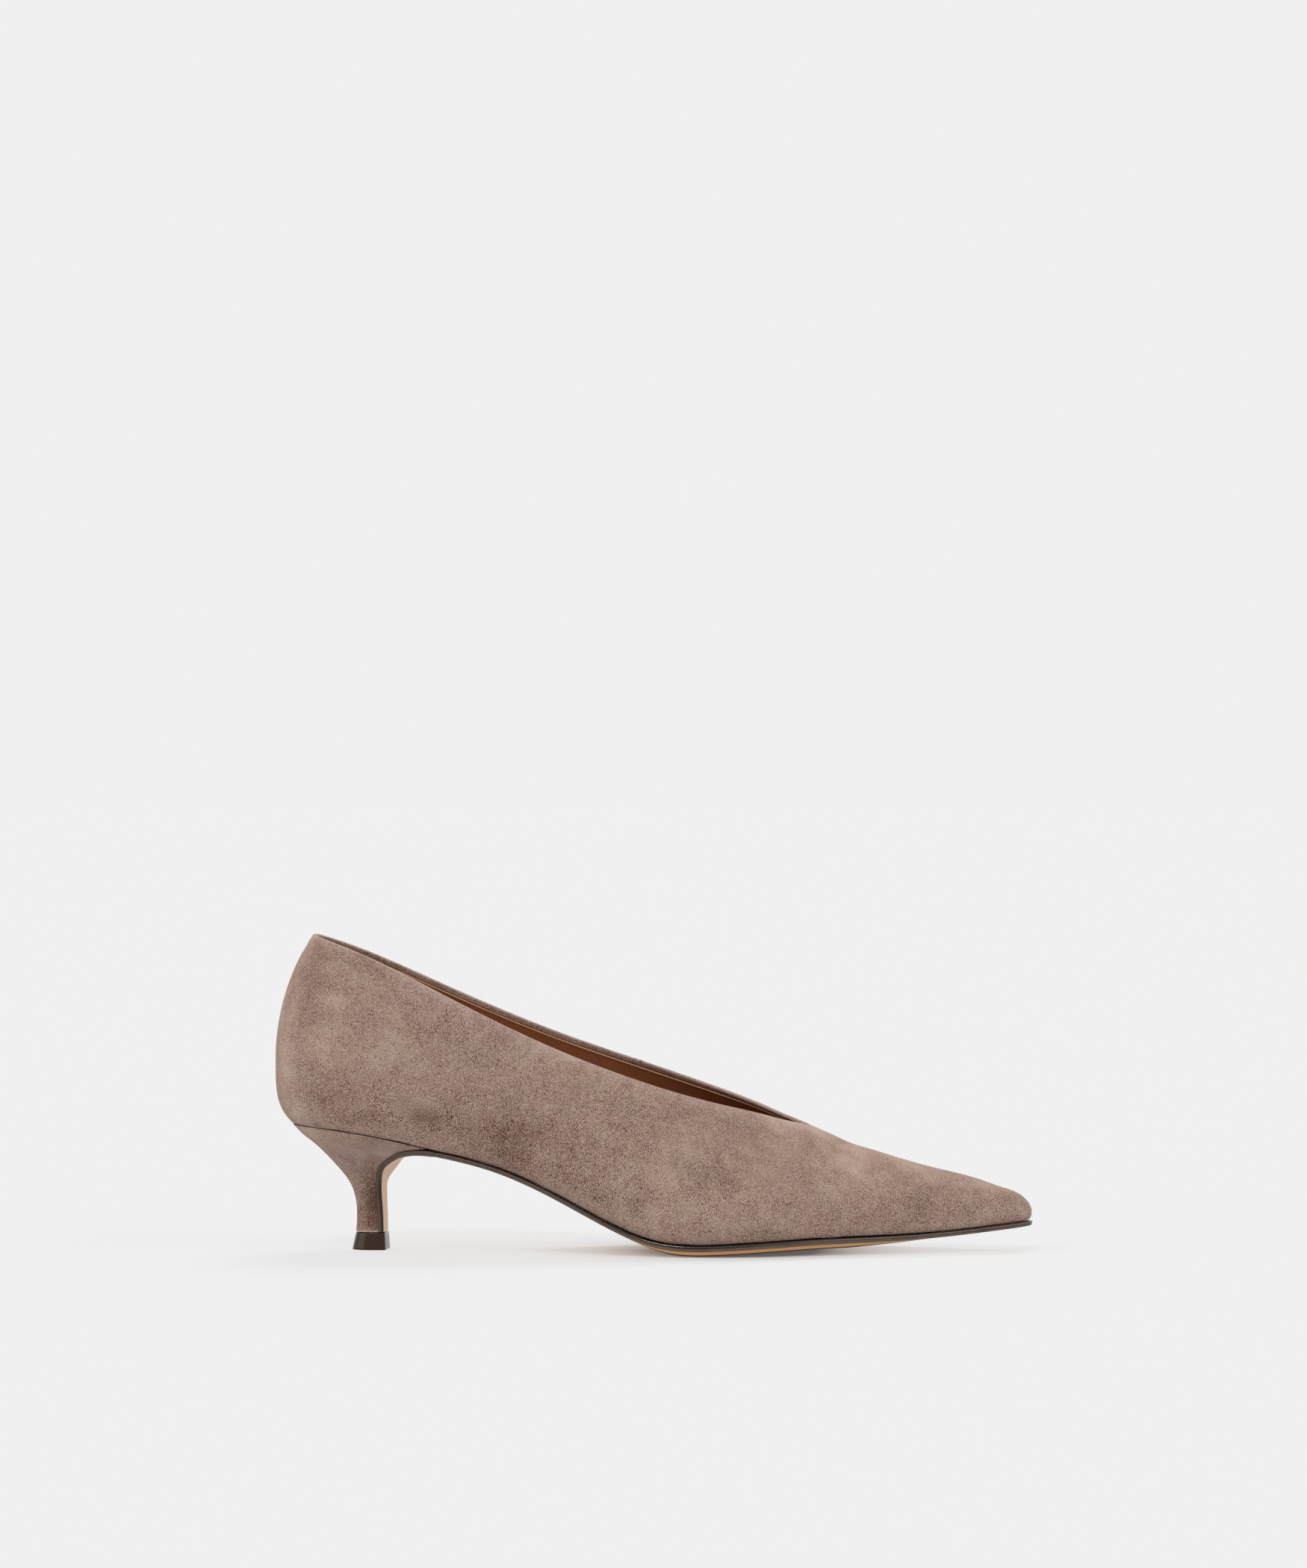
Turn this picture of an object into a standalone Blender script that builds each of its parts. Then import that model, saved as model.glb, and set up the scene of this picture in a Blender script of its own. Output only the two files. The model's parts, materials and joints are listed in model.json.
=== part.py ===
"""Pointed pump on a low curved heel, right foot.

A suede upper is cut from the last along its topline. A thin leather sole follows the arch and runs on
down the front of the covered heel, which stands on a hard top lift. An insole closes the inside.
"""

import math
from collections import namedtuple

import bmesh
import bpy
import numpy as np

MM = 0.001

# Frame of the last, in millimetres: x forward from the rearmost point of the heel, y towards the inner
# side of the foot, z up from the floor.
LATERAL, MEDIAL = -1, 1

SEAT_BACK = 6.5  # x of the upper's lower edge behind the heel
SEAT_FRONT = 52.5  # x where the heel's wedge runs out under the upper
THROAT = 181.0  # x of the front of the topline
TOE_TIP = 255.7  # x of the upper's lower edge at the toe
HEEL_ROUND = 24.0  # length of the round end of the heel's outline
TOE_ROUND = 7.0  # length of the round end of the toe's outline
THROAT_RUN = 20.0  # length behind the throat over which the topline turns across

WALL = 1.8  # suede and lining together
INSOLE_THICK = 2.2
FLAP_THICK = 1.8
SOLE_LEDGE = 0.6  # how far the sole stands out past the upper
SOLE_EDGE_BULGE = 0.25
TREAD_FLAT = 0.5  # share of the half width that is level across the tread
GAP = 0.3

FLANK_POWER = 4.2  # how quickly the wall turns upright above its lower edge
SPINE_BACK = 33.5  # how far inside the heel's back its ribs aim
SPINE_HEEL_RUN = 63.5
SPINE_TOE = 12.0  # how far behind the toe tip the crest ends
SPINE_TOE_RUN = 24.0
TOPLINE_PASSES = 6

HEEL_TURN = math.radians(3.5)  # the heel's front faces a little to the outer side
LIFT_HEIGHT = 6.3

HEEL_COLUMNS, QUARTER_STEP, THROAT_COLUMNS, VAMP_STEP, TOE_COLUMNS = 8, 7.5, 7, 7.5, 6
FLANK_ROWS, FLANK_CROWDING, ARCH_ROWS = 4, 1.5, 10
HEEL_RINGS, HEEL_SIDE = 22, 12
INSOLE_PLACES = np.linspace(0, 1, 9)
SOLE_PLACES = np.array([0, 0.035, 0.09, 0.16, 0.25, 0.5, 0.75, 0.84, 0.91, 0.965, 1])

# One row for each section of the last. centre and half give the lower edge's outline, feather is the
# height of that edge, tread the height of the sole's underside in the middle and sole its thickness. The
# wall swells out by swell, at rise above the edge, and arches over to the last's crest at height crest and
# side place ridge. A larger fullness gives a squarer arch.
Section = namedtuple("Section", "x centre half feather tread sole swell rise crest ridge fullness")
LAST = (
    Section(6.5, 0.0, 24.5, 42.9, 41.2, 1.6, 6.5, 22.6, 122.8, -0.5, 1.85),
    Section(20.0, -0.5, 25.2, 41.8, 40.1, 1.6, 3.4, 18.5, 126.5, -0.8, 1.85),
    Section(35.0, -1.2, 25.6, 39.6, 37.9, 1.6, 2.2, 15.5, 130.5, -1.0, 1.85),
    Section(55.0, -2.2, 25.0, 35.2, 33.5, 1.6, 1.9, 13.0, 131.0, -1.0, 1.80),
    Section(75.0, -3.2, 23.8, 30.0, 28.3, 1.6, 2.0, 12.0, 121.0, -0.5, 1.80),
    Section(95.0, -4.0, 24.4, 21.5, 19.8, 1.6, 2.4, 11.5, 106.0, 0.5, 1.70),
    Section(115.0, -4.0, 28.4, 11.2, 9.3, 1.7, 2.6, 11.0, 90.0, 1.5, 1.62),
    Section(128.0, -3.3, 32.2, 6.0, 3.1, 1.9, 2.5, 10.7, 79.0, 2.0, 1.56),
    Section(140.0, -2.3, 35.2, 4.2, -0.6, 2.0, 2.4, 10.4, 68.8, 2.4, 1.49),
    Section(152.0, -1.0, 36.6, 4.3, -0.8, 2.0, 2.2, 10.0, 59.2, 2.6, 1.45),
    Section(166.0, 0.4, 35.8, 5.0, 0.2, 2.0, 1.9, 9.4, 50.2, 2.8, 1.40),
    Section(181.0, 1.3, 31.6, 5.8, 1.6, 2.0, 1.6, 8.5, 42.6, 2.8, 1.40),
    Section(200.0, 1.8, 24.6, 6.3, 3.2, 1.9, 1.4, 7.0, 35.0, 2.6, 1.45),
    Section(220.0, 1.8, 17.4, 7.0, 4.7, 1.8, 1.1, 5.6, 29.1, 2.2, 1.50),
    Section(238.0, 1.5, 11.2, 8.5, 6.5, 1.7, 0.8, 4.4, 24.5, 1.8, 1.55),
    Section(255.7, 1.2, 5.4, 10.5, 8.5, 1.7, 0.5, 3.2, 18.0, 1.2, 1.50),
)

# Height of the topline on each side of the foot.
Topline = namedtuple("Topline", "x lateral medial")
TOPLINE = (
    Topline(13.4, 107.2, 107.2),
    Topline(30.0, 101.3, 100.4),
    Topline(53.0, 90.3, 90.3),
    Topline(76.0, 78.4, 80.3),
    Topline(100.0, 67.3, 70.9),
    Topline(123.0, 59.2, 63.2),
    Topline(150.0, 50.8, 54.3),
    Topline(166.0, 46.4, 48.6),
    Topline(181.0, 42.6, 42.6),
)

# One row for each level of the heel below its seat: a D of that half width, from its round back to its
# flat front. rounded is the share of its depth that the round back takes.
Level = namedtuple("Level", "back_x back_z front_x front_z half rounded")
HEEL = (
    Level(9.0, 39.4, 47.6, 35.0, 22.6, 0.55),
    Level(12.2, 36.6, 43.7, 34.2, 19.4, 0.58),
    Level(16.4, 32.9, 40.1, 32.2, 15.2, 0.60),
    Level(21.0, 28.3, 36.8, 28.9, 11.2, 0.64),
    Level(24.6, 23.9, 35.5, 24.2, 8.5, 0.68),
    Level(26.9, 19.2, 35.2, 19.2, 6.8, 0.72),
    Level(27.8, 13.0, 35.5, 13.0, 5.8, 0.75),
    Level(27.7, 6.6, 35.7, 6.6, 5.7, 0.75),
)
TOP_LIFT = (
    Level(27.8, LIFT_HEIGHT, 37.9, LIFT_HEIGHT, 5.7, 0.60),
    Level(26.5, 0.0, 38.2, 0.0, 6.3, 0.60),
)

Finish = namedtuple("Finish", "colour roughness metallic")
FINISHES = {
    "upper": Finish((0.30, 0.225, 0.19), 0.95, 0.0),
    "heel": Finish((0.27, 0.20, 0.165), 0.95, 0.0),
    "insole": Finish((0.36, 0.18, 0.08), 0.55, 0.0),
    "outsole": Finish((0.55, 0.36, 0.22), 0.60, 0.0),
    "top_lift": Finish((0.045, 0.025, 0.02), 0.25, 0.0),
}


def spline(knots, values):
    """Natural cubic through a table's column, as a function of arrays."""
    knots, values = np.array(knots, float), np.array(values, float)
    span = np.diff(knots)
    slope = np.diff(values) / span
    system = np.eye(len(knots))
    load = np.zeros(len(knots))
    for i in range(1, len(knots) - 1):
        system[i, i - 1 : i + 2] = span[i - 1], 2 * (span[i - 1] + span[i]), span[i]
        load[i] = 6 * (slope[i] - slope[i - 1])
    bend = np.linalg.solve(system, load)

    def at(x):
        x = np.clip(x, knots[0], knots[-1])
        i = np.clip(np.searchsorted(knots, x, side="right") - 1, 0, len(span) - 1)
        a, b = (knots[i + 1] - x) / span[i], (x - knots[i]) / span[i]
        curve = ((a**3 - a) * bend[i] + (b**3 - b) * bend[i + 1]) * span[i] ** 2 / 6
        return a * values[i] + b * values[i + 1] + curve

    return at


def columns(table):
    """The table's columns as functions of its first one."""
    first, *rest = zip(*table)
    return [spline(first, column) for column in rest]


centre, half_table, feather, tread_table, sole, swell, rise, crest, ridge, fullness = columns(LAST)
topline_height = dict(zip((LATERAL, MEDIAL), columns(TOPLINE)))


def half_width(x):
    """Half width of the lower edge's outline, which closes in a round end at heel and toe."""
    heel = np.clip((x - SEAT_BACK) / HEEL_ROUND, 0, 1)
    toe = np.clip((TOE_TIP - x) / TOE_ROUND, 0, 1)
    return half_table(x) * np.sqrt((1 - (1 - heel) ** 2) * (1 - (1 - toe) ** 2))


def tread(x):
    """Height of the sole's underside in the middle, which is flat where it meets the floor."""
    return np.maximum(tread_table(x), 0)


def stations():
    """Places of the ribs along the shoe, closer together round the heel, the throat and the toe."""
    heel = SEAT_BACK + HEEL_ROUND * (1 - np.cos(np.linspace(0, math.pi / 2, HEEL_COLUMNS + 1)))
    throat = THROAT - THROAT_RUN * np.linspace(1, 0, THROAT_COLUMNS) ** 2
    toe = TOE_TIP - TOE_ROUND * (1 - np.sin(np.linspace(0, math.pi / 2, TOE_COLUMNS + 1)))
    quarter = np.linspace(heel[-1], throat[0], round((throat[0] - heel[-1]) / QUARTER_STEP) + 1)
    vamp = np.linspace(throat[-1], toe[0], round((toe[0] - throat[-1]) / VAMP_STEP) + 1)
    return np.concatenate([heel, quarter[1:-1], throat, vamp[1:-1], toe])


def outline(x, side):
    """Points of the lower edge on one side, in plan, and their outward directions."""
    points = np.stack([x, centre(x) + side * half_width(x)], axis=1)
    length = np.concatenate([[0], np.cumsum(np.linalg.norm(np.diff(points, axis=0), axis=1))])
    along = np.gradient(points, length, axis=0)
    along /= np.linalg.norm(along, axis=1, keepdims=True)
    if x[0] <= SEAT_BACK:
        along[0] = 0, side
    along[-1] = 0, -side
    return points, side * np.stack([-along[:, 1], along[:, 0]], axis=1)


def ribs(side):
    """The upper's outer face on one side: one rib for each station, from the lower edge to the topline
    or, ahead of the throat, to the crest."""
    x = stations()
    edge, outward = outline(x, side)
    widest = edge + outward * swell(x)[:, None]

    into_heel = np.clip(1 - (x - SEAT_BACK) / SPINE_HEEL_RUN, 0, 1)
    into_toe = np.clip(1 - (TOE_TIP - x) / SPINE_TOE_RUN, 0, 1)
    spine_x = x + SPINE_BACK * into_heel**2 - SPINE_TOE * into_toe**2
    spine = np.stack([spine_x, ridge(spine_x)], axis=1)

    low, middle = feather(x), feather(x) + rise(x)
    high = crest(np.minimum(x, spine_x))
    power = fullness(x)
    fall = (crest(spine_x - 1) - crest(spine_x + 1)) / 2 * np.maximum(widest[:, 0] - spine_x, 0)

    full_turn = np.full(len(x), math.pi / 2)
    turn = full_turn
    for _ in range(TOPLINE_PASSES):
        at = widest[:, 0] + (spine[:, 0] - widest[:, 0]) * (1 - np.cos(turn))
        share = np.clip((topline_height[side](at) - middle) / (high - middle), 0, 1)
        turn = np.where(x < THROAT, np.arcsin(share ** (power / 2)), full_turn)

    rows = []
    for lift in (np.arange(FLANK_ROWS) / FLANK_ROWS) ** FLANK_CROWDING:
        plan = edge + (widest - edge) * (1 - (1 - lift) ** FLANK_POWER)
        rows.append(np.column_stack([plan, low + (middle - low) * lift]))
    for share in np.linspace(0, 1, ARCH_ROWS + 1):
        inward = (1 - np.cos(turn * share))[:, None]
        up = np.sin(turn * share) ** (2 / power)
        lean = fall * (1 - inward[:, 0]) * inward[:, 0] ** 2
        rows.append(np.column_stack([widest + (spine - widest) * inward, middle + (high - middle) * up - lean]))
    return np.stack(rows, axis=1)


def crown(x, y):
    """How far the bottom of the last hangs below its edge at a point: the tread is level in the middle
    and curves up to both edges."""
    slope = np.gradient(feather(x), x)
    depth = np.maximum(feather(x) - (GAP + sole(x)) / np.sqrt(1 + slope**2) - tread(x), 0)
    depth = np.where(x > SEAT_FRONT, depth, 0)
    across = np.abs(y - centre(x)) / np.maximum(half_width(x), GAP)
    curve = np.clip((across - TREAD_FLAT) / (1 - TREAD_FLAT), 0, 1)
    return depth * (1 - curve**2)


def level_curve(level):
    """A D-shaped level as points of both sides, from the middle of its back to the corner of its front."""
    share = 1 - np.cos(np.linspace(0, math.pi / 2, HEEL_SIDE + 1))
    round_share = np.clip(share / level.rounded, 0, 1)
    width = level.half * np.sqrt(1 - (1 - round_share) ** 2)
    x = level.back_x + (level.front_x - level.back_x) * share
    z = level.back_z + (level.front_z - level.back_z) * share
    middle = centre(level.back_x + (level.front_x - level.back_x) / 2)
    turn = math.tan(HEEL_TURN) * width
    return np.stack([np.column_stack([x + side * turn, middle + side * width, z]) for side in (LATERAL, MEDIAL)])


def seat_curve():
    """The heel's upper rim, which follows the upper's lower edge."""
    x = SEAT_BACK + (SEAT_FRONT - SEAT_BACK) * (1 - np.cos(np.linspace(0, math.pi / 2, HEEL_SIDE + 1)))
    return np.stack(
        [np.column_stack([x, centre(x) + side * half_width(x), feather(x) - GAP]) for side in (LATERAL, MEDIAL)]
    )


def heel_rings():
    """The heel's levels from seat to foot, smoothed between the table's rows."""
    curves = np.stack([seat_curve()] + [level_curve(level) for level in HEEL])
    flat = curves.reshape(len(curves), -1)
    place = np.linspace(0, len(curves) - 1, HEEL_RINGS)
    smooth = np.stack([spline(range(len(curves)), column)(place) for column in flat.T], axis=1)
    return smooth.reshape(HEEL_RINGS, *curves.shape[1:])


def new_object(name, points, faces):
    """A mesh object from millimetre points, with coincident points welded and its finish applied."""
    mesh = bpy.data.meshes.new(name)
    mesh.from_pydata((np.asarray(points) * MM).tolist(), [], faces)
    shape = bmesh.new()
    shape.from_mesh(mesh)
    bmesh.ops.remove_doubles(shape, verts=shape.verts, dist=1e-6)
    bmesh.ops.dissolve_degenerate(shape, edges=shape.edges, dist=1e-7)
    shape.to_mesh(mesh)
    shape.free()
    mesh.shade_smooth()
    mesh.set_sharp_from_angle(angle=math.radians(35))
    finish = FINISHES[name]
    material = bpy.data.materials.new(name)
    material.use_nodes = True
    shader = material.node_tree.nodes["Principled BSDF"]
    shader.inputs["Base Color"].default_value = (*finish.colour, 1)
    shader.inputs["Roughness"].default_value = finish.roughness
    shader.inputs["Metallic"].default_value = finish.metallic
    mesh.materials.append(material)
    obj = bpy.data.objects.new(name, mesh)
    bpy.context.scene.collection.objects.link(obj)
    return obj


def grid_faces(start, long, wide, flip=False):
    """Quads over a grid of long by wide points whose first index is start."""
    faces = []
    for i in range(long - 1):
        for j in range(wide - 1):
            a = start + i * wide + j
            quad = (a, a + wide, a + wide + 1, a + 1)
            faces.append(quad[::-1] if flip else quad)
    return faces


def closed_strip(name, rings, pointed=False):
    """A solid lofted through closed rings of points, with its first and last ring as flat ends made of
    rungs between the ring's two halves. A pointed one has no face at its last ring."""
    count, size = rings.shape[:2]
    faces = []
    for i in range(count - 1):
        for j in range(size):
            a, b = i * size + j, i * size + (j + 1) % size
            faces.append((a, b, b + size, a + size))
    last = (count - 1) * size
    for j in range(size // 2 - 1):
        rung = (j, size - 1 - j, size - 2 - j, j + 1)
        faces.append(rung)
        if not pointed:
            faces.append(tuple(last + k for k in reversed(rung)))
    obj = new_object(name, rings.reshape(-1, 3), faces)
    shape = bmesh.new()
    shape.from_mesh(obj.data)
    bmesh.ops.recalc_face_normals(shape, faces=shape.faces)
    shape.to_mesh(obj.data)
    shape.free()
    return obj


def build_upper():
    """Both sides of the last's face, joined up the back and along the crest, with a wall inside it."""
    sides = {side: ribs(side) for side in (LATERAL, MEDIAL)}
    sides[LATERAL][0] = sides[MEDIAL][0] = (sides[LATERAL][0] + sides[MEDIAL][0]) / 2
    long, wide = sides[LATERAL].shape[:2]
    faces = grid_faces(0, long, wide) + grid_faces(long * wide, long, wide, flip=True)
    points = np.concatenate([sides[side].reshape(-1, 3) for side in (LATERAL, MEDIAL)])
    upper = new_object("upper", points, faces)
    wall = upper.modifiers.new("wall", "SOLIDIFY")
    wall.thickness = WALL * MM
    wall.offset = -1
    wall.use_even_offset = True
    return upper


def build_insole():
    """A board inside the upper's lower edge, which follows the curve of the last's bottom."""
    x = stations()
    edges = []
    for side in (LATERAL, MEDIAL):
        edge, outward = outline(x, side)
        edges.append(edge - outward * (WALL + GAP))
    lateral, medial = edges
    plan = lateral[:, None] + (medial - lateral)[:, None] * INSOLE_PLACES[None, :, None]
    drop = np.stack([crown(line[:, 0], line[:, 1]) for line in plan.swapaxes(0, 1)], axis=1)
    under = np.dstack([plan, feather(plan[..., 0]) - drop])
    over = under + (0, 0, INSOLE_THICK)
    return closed_strip("insole", np.concatenate([under, over[:, ::-1]], axis=1))


def build_outsole():
    """The sole from the foot of the heel's front, up under the arch and forward to the toe."""
    front = heel_rings()[::-1, :, -1]
    x = stations()
    x = np.concatenate([[SEAT_FRONT + 2], x[x > SEAT_FRONT + 5]])
    flap_sides = np.zeros((len(front), 2, 3)) + np.array([(0, LATERAL, 0), (0, MEDIAL, 0)])
    fore, fore_sides = [], []
    for side in (LATERAL, MEDIAL):
        edge, outward = outline(x, side)
        fore.append(np.column_stack([edge + outward * SOLE_LEDGE, feather(x)]))
        fore_sides.append(np.column_stack([outward, np.zeros(len(x))]))
    edges = np.concatenate([front, np.stack(fore, axis=1)])
    sides = np.concatenate([flap_sides, np.stack(fore_sides, axis=1)])

    line = edges.mean(axis=1)
    length = np.concatenate([[0], np.cumsum(np.linalg.norm(np.diff(line, axis=0), axis=1))])
    along = np.gradient(line, length, axis=0)
    down = np.stack([along[:, 2], np.zeros(len(line)), -along[:, 0]], axis=1)
    down /= np.linalg.norm(down, axis=1, keepdims=True)

    top = edges[:, :1] + (edges[:, 1:] - edges[:, :1]) * SOLE_PLACES[None, :, None]
    drop = np.zeros(top.shape[:2])
    drop[len(front) :] = np.stack([crown(x, line) for line in top[len(front) :, :, 1].T], axis=1)
    top = top - drop[..., None] * (0, 0, 1) + down[:, None] * GAP
    thick = np.concatenate([np.full(len(front), FLAP_THICK), sole(x)])
    under = top + (down * thick[:, None])[:, None]
    bulge = (top + under)[:, [0, -1]] / 2 + sides * SOLE_EDGE_BULGE
    rings = np.concatenate([bulge[:, :1], top, bulge[:, 1:], under[:, ::-1]], axis=1)
    return closed_strip("outsole", rings, pointed=True)


def build_heel():
    """The covered heel, with a seat that follows the upper and a flat front for the sole."""
    rings = heel_rings()
    return closed_strip("heel", np.concatenate([rings[:, 0, ::-1], rings[:, 1]], axis=1))


def build_top_lift():
    """The flared hard piece that the heel stands on."""
    rings = np.stack([level_curve(level) for level in TOP_LIFT])
    return closed_strip("top_lift", np.concatenate([rings[:, 0, ::-1], rings[:, 1]], axis=1))


def main():
    for obj in list(bpy.data.objects):
        bpy.data.objects.remove(obj)
    pieces = [build_upper(), build_insole(), build_outsole(), build_heel(), build_top_lift()]
    corners = np.array([corner for piece in pieces for corner in piece.bound_box])
    middle = (corners.min(axis=0) + corners.max(axis=0)) / 2
    shoe = bpy.data.objects.new("shoe", None)
    bpy.context.scene.collection.objects.link(shoe)
    shoe.location = -middle[0], -middle[1], 0
    for piece in pieces:
        piece.parent = shoe


main()
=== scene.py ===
"""Dresses the pointed pump on its low curved heel for the photograph's view.

Every surface is worked out in the last's own frame, in millimetres: x runs forward from the rearmost point
of the heel, y towards the inner side of the foot, z up from the floor. Meshes are then moved into the
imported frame, in metres.
"""

from __future__ import annotations

import json
import logging
import math
from collections.abc import Callable, Sequence
from dataclasses import dataclass, field
from enum import Enum, IntEnum

import bpy
import numpy as np
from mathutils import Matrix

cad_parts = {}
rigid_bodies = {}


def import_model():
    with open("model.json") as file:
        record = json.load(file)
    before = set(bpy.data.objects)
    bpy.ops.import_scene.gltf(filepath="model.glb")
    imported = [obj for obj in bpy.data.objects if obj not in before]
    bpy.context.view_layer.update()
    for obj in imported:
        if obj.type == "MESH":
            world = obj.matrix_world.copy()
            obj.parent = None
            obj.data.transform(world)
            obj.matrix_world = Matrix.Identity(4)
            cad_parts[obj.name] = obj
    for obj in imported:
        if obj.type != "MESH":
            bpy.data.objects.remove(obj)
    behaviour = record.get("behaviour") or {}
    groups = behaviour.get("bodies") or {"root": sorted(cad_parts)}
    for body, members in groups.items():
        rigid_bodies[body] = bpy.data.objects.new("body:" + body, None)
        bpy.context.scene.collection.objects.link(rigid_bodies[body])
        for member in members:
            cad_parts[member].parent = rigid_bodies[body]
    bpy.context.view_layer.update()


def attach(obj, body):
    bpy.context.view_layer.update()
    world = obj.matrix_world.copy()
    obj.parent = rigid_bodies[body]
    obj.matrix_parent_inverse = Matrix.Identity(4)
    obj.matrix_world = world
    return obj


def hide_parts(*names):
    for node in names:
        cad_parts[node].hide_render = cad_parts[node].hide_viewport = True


LOG = logging.getLogger("pump")

Array = np.ndarray
Curve = Callable[[Array], Array]
Colour = tuple[float, float, float]
Vector = tuple[float, float, float]
Pair = tuple[float, float]
Ramp = tuple[tuple[float, Colour], ...]
Table = tuple[tuple[float, ...], ...]
Socket = bpy.types.NodeSocket
Material = bpy.types.Material
Piece = bpy.types.Object

MM = 0.001
# Tone of a finish where each of its noises is at its middle.
MIDDLE_TONE = 0.5625
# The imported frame's origin, in the last's frame.
ROW_ORIGIN = np.array([128.335495, -0.85185843, 0.0])


class Side(IntEnum):
    """The sides of the foot. The outer one is nearer the camera."""

    LATERAL = -1
    MEDIAL = 1


SIDES = (Side.LATERAL, Side.MEDIAL)


class Slot(Enum):
    """The record's material slots."""

    UPPER = "upper"
    INSOLE = "insole"
    OUTSOLE = "outsole"
    HEEL = "heel"
    TOP_LIFT = "top_lift"


def natural_spline(knots: Sequence[float], values: Array) -> Curve:
    """Natural cubic through a table: between two knots, a straight mix of their values plus a cubic bend
    whose second derivative is continuous and falls to nothing at both ends.

    Args:
        knots: Rising places of the table's rows.
        values: One value, or one row of values, for each knot.

    Returns:
        A function from an array of places to an array of values.
    """
    knots = np.asarray(knots, float)
    shape = np.shape(values)[1:]
    values = np.asarray(values, float).reshape(len(knots), -1)
    span = np.diff(knots)
    slope = np.diff(values, axis=0) / span[:, None]
    system = np.diag(np.concatenate([[1], 2 * (span[:-1] + span[1:]), [1]]))
    system += np.diag(np.concatenate([span[:-1], [0]]), -1) + np.diag(np.concatenate([[0], span[1:]]), 1)
    load = np.zeros_like(values)
    load[1:-1] = 6 * np.diff(slope, axis=0)
    bend = np.linalg.solve(system, load)

    def at(place: Array) -> Array:
        """The table's value at each place, held level past both ends."""
        place = np.clip(np.asarray(place, float), knots[0], knots[-1])
        flat = place.reshape(-1)
        i = np.clip(np.searchsorted(knots, flat, side="right") - 1, 0, len(span) - 1)
        step = span[i, None]
        a = (knots[i + 1, None] - flat[:, None]) / step
        b = 1 - a
        curve = ((a**3 - a) * bend[i] + (b**3 - b) * bend[i + 1]) * step**2 / 6
        return (a * values[i] + b * values[i + 1] + curve).reshape(place.shape + shape)

    return at


def unit(vectors: Array) -> Array:
    """The vectors, each at length one."""
    return vectors / np.maximum(np.linalg.norm(vectors, axis=-1, keepdims=True), 1e-9)


def numbered(grid: Array) -> Array:
    """Point numbers for a grid of points, line by line."""
    return np.arange(grid.shape[0] * grid.shape[1]).reshape(grid.shape[:2])


def grid_quads(ids: Array, wrap: bool = False) -> Array:
    """Quads over a grid of point numbers, facing the side that row direction crossed with column direction
    points to.

    Args:
        ids: Point numbers, one line for each column of the grid.
        wrap: Whether the last column joins the first.

    Returns:
        Four point numbers for each quad.
    """
    ahead = np.roll(ids, -1, axis=0)
    here, ahead = (ids, ahead) if wrap else (ids[:-1], ahead[:-1])
    return np.stack([here[:, :-1], here[:, 1:], ahead[:, 1:], ahead[:, :-1]], axis=-1).reshape(-1, 4)


def vertex_normals(points: Array, quads: Array) -> Array:
    """Mean direction of the faces round each point, weighed by their areas: each quad adds the cross
    product of its diagonals to its four corners."""
    a, b, c, d = (points[quads[:, i]] for i in range(4))
    face = np.cross(c - a, d - b)
    total = np.zeros_like(points)
    for corner in range(4):
        np.add.at(total, quads[:, corner], face)
    return unit(total)


def bumps(u: Array, v: Array, marks: Sequence[tuple[float, ...]]) -> Array:
    """Sum of soft oval marks: each is its amount times a bell curve of the distance from its middle, in its
    own length and width, turned by its angle.

    Args:
        u: First place of each point.
        v: Second place of each point.
        marks: (u, v, length, width, angle in degrees, amount) of each mark.

    Returns:
        One number for each point.
    """
    mu, mv, length, width, angle, amount = np.array(marks, float).T[:, :, None]
    turn = np.radians(angle)
    along = ((u - mu) * np.cos(turn) + (v - mv) * np.sin(turn)) / length
    across = ((v - mv) * np.cos(turn) - (u - mu) * np.sin(turn)) / width
    return (amount * np.exp(-(along**2) - across**2)).sum(axis=0)


def bell(distance: Array, width: float) -> Array:
    """A bell curve: one where the distance is nothing, and close to nothing at twice the width."""
    return np.exp(-((distance / width) ** 2))


def climb(place: Array, start: float, run: float) -> Array:
    """Nothing before the start and one past the run, straight between. A negative run climbs backward."""
    return np.clip((place - start) / run, 0, 1)


def eased_step(share: Array) -> Array:
    """A share from nothing to one, made level at both ends."""
    return share**2 * (3 - 2 * share)


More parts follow.
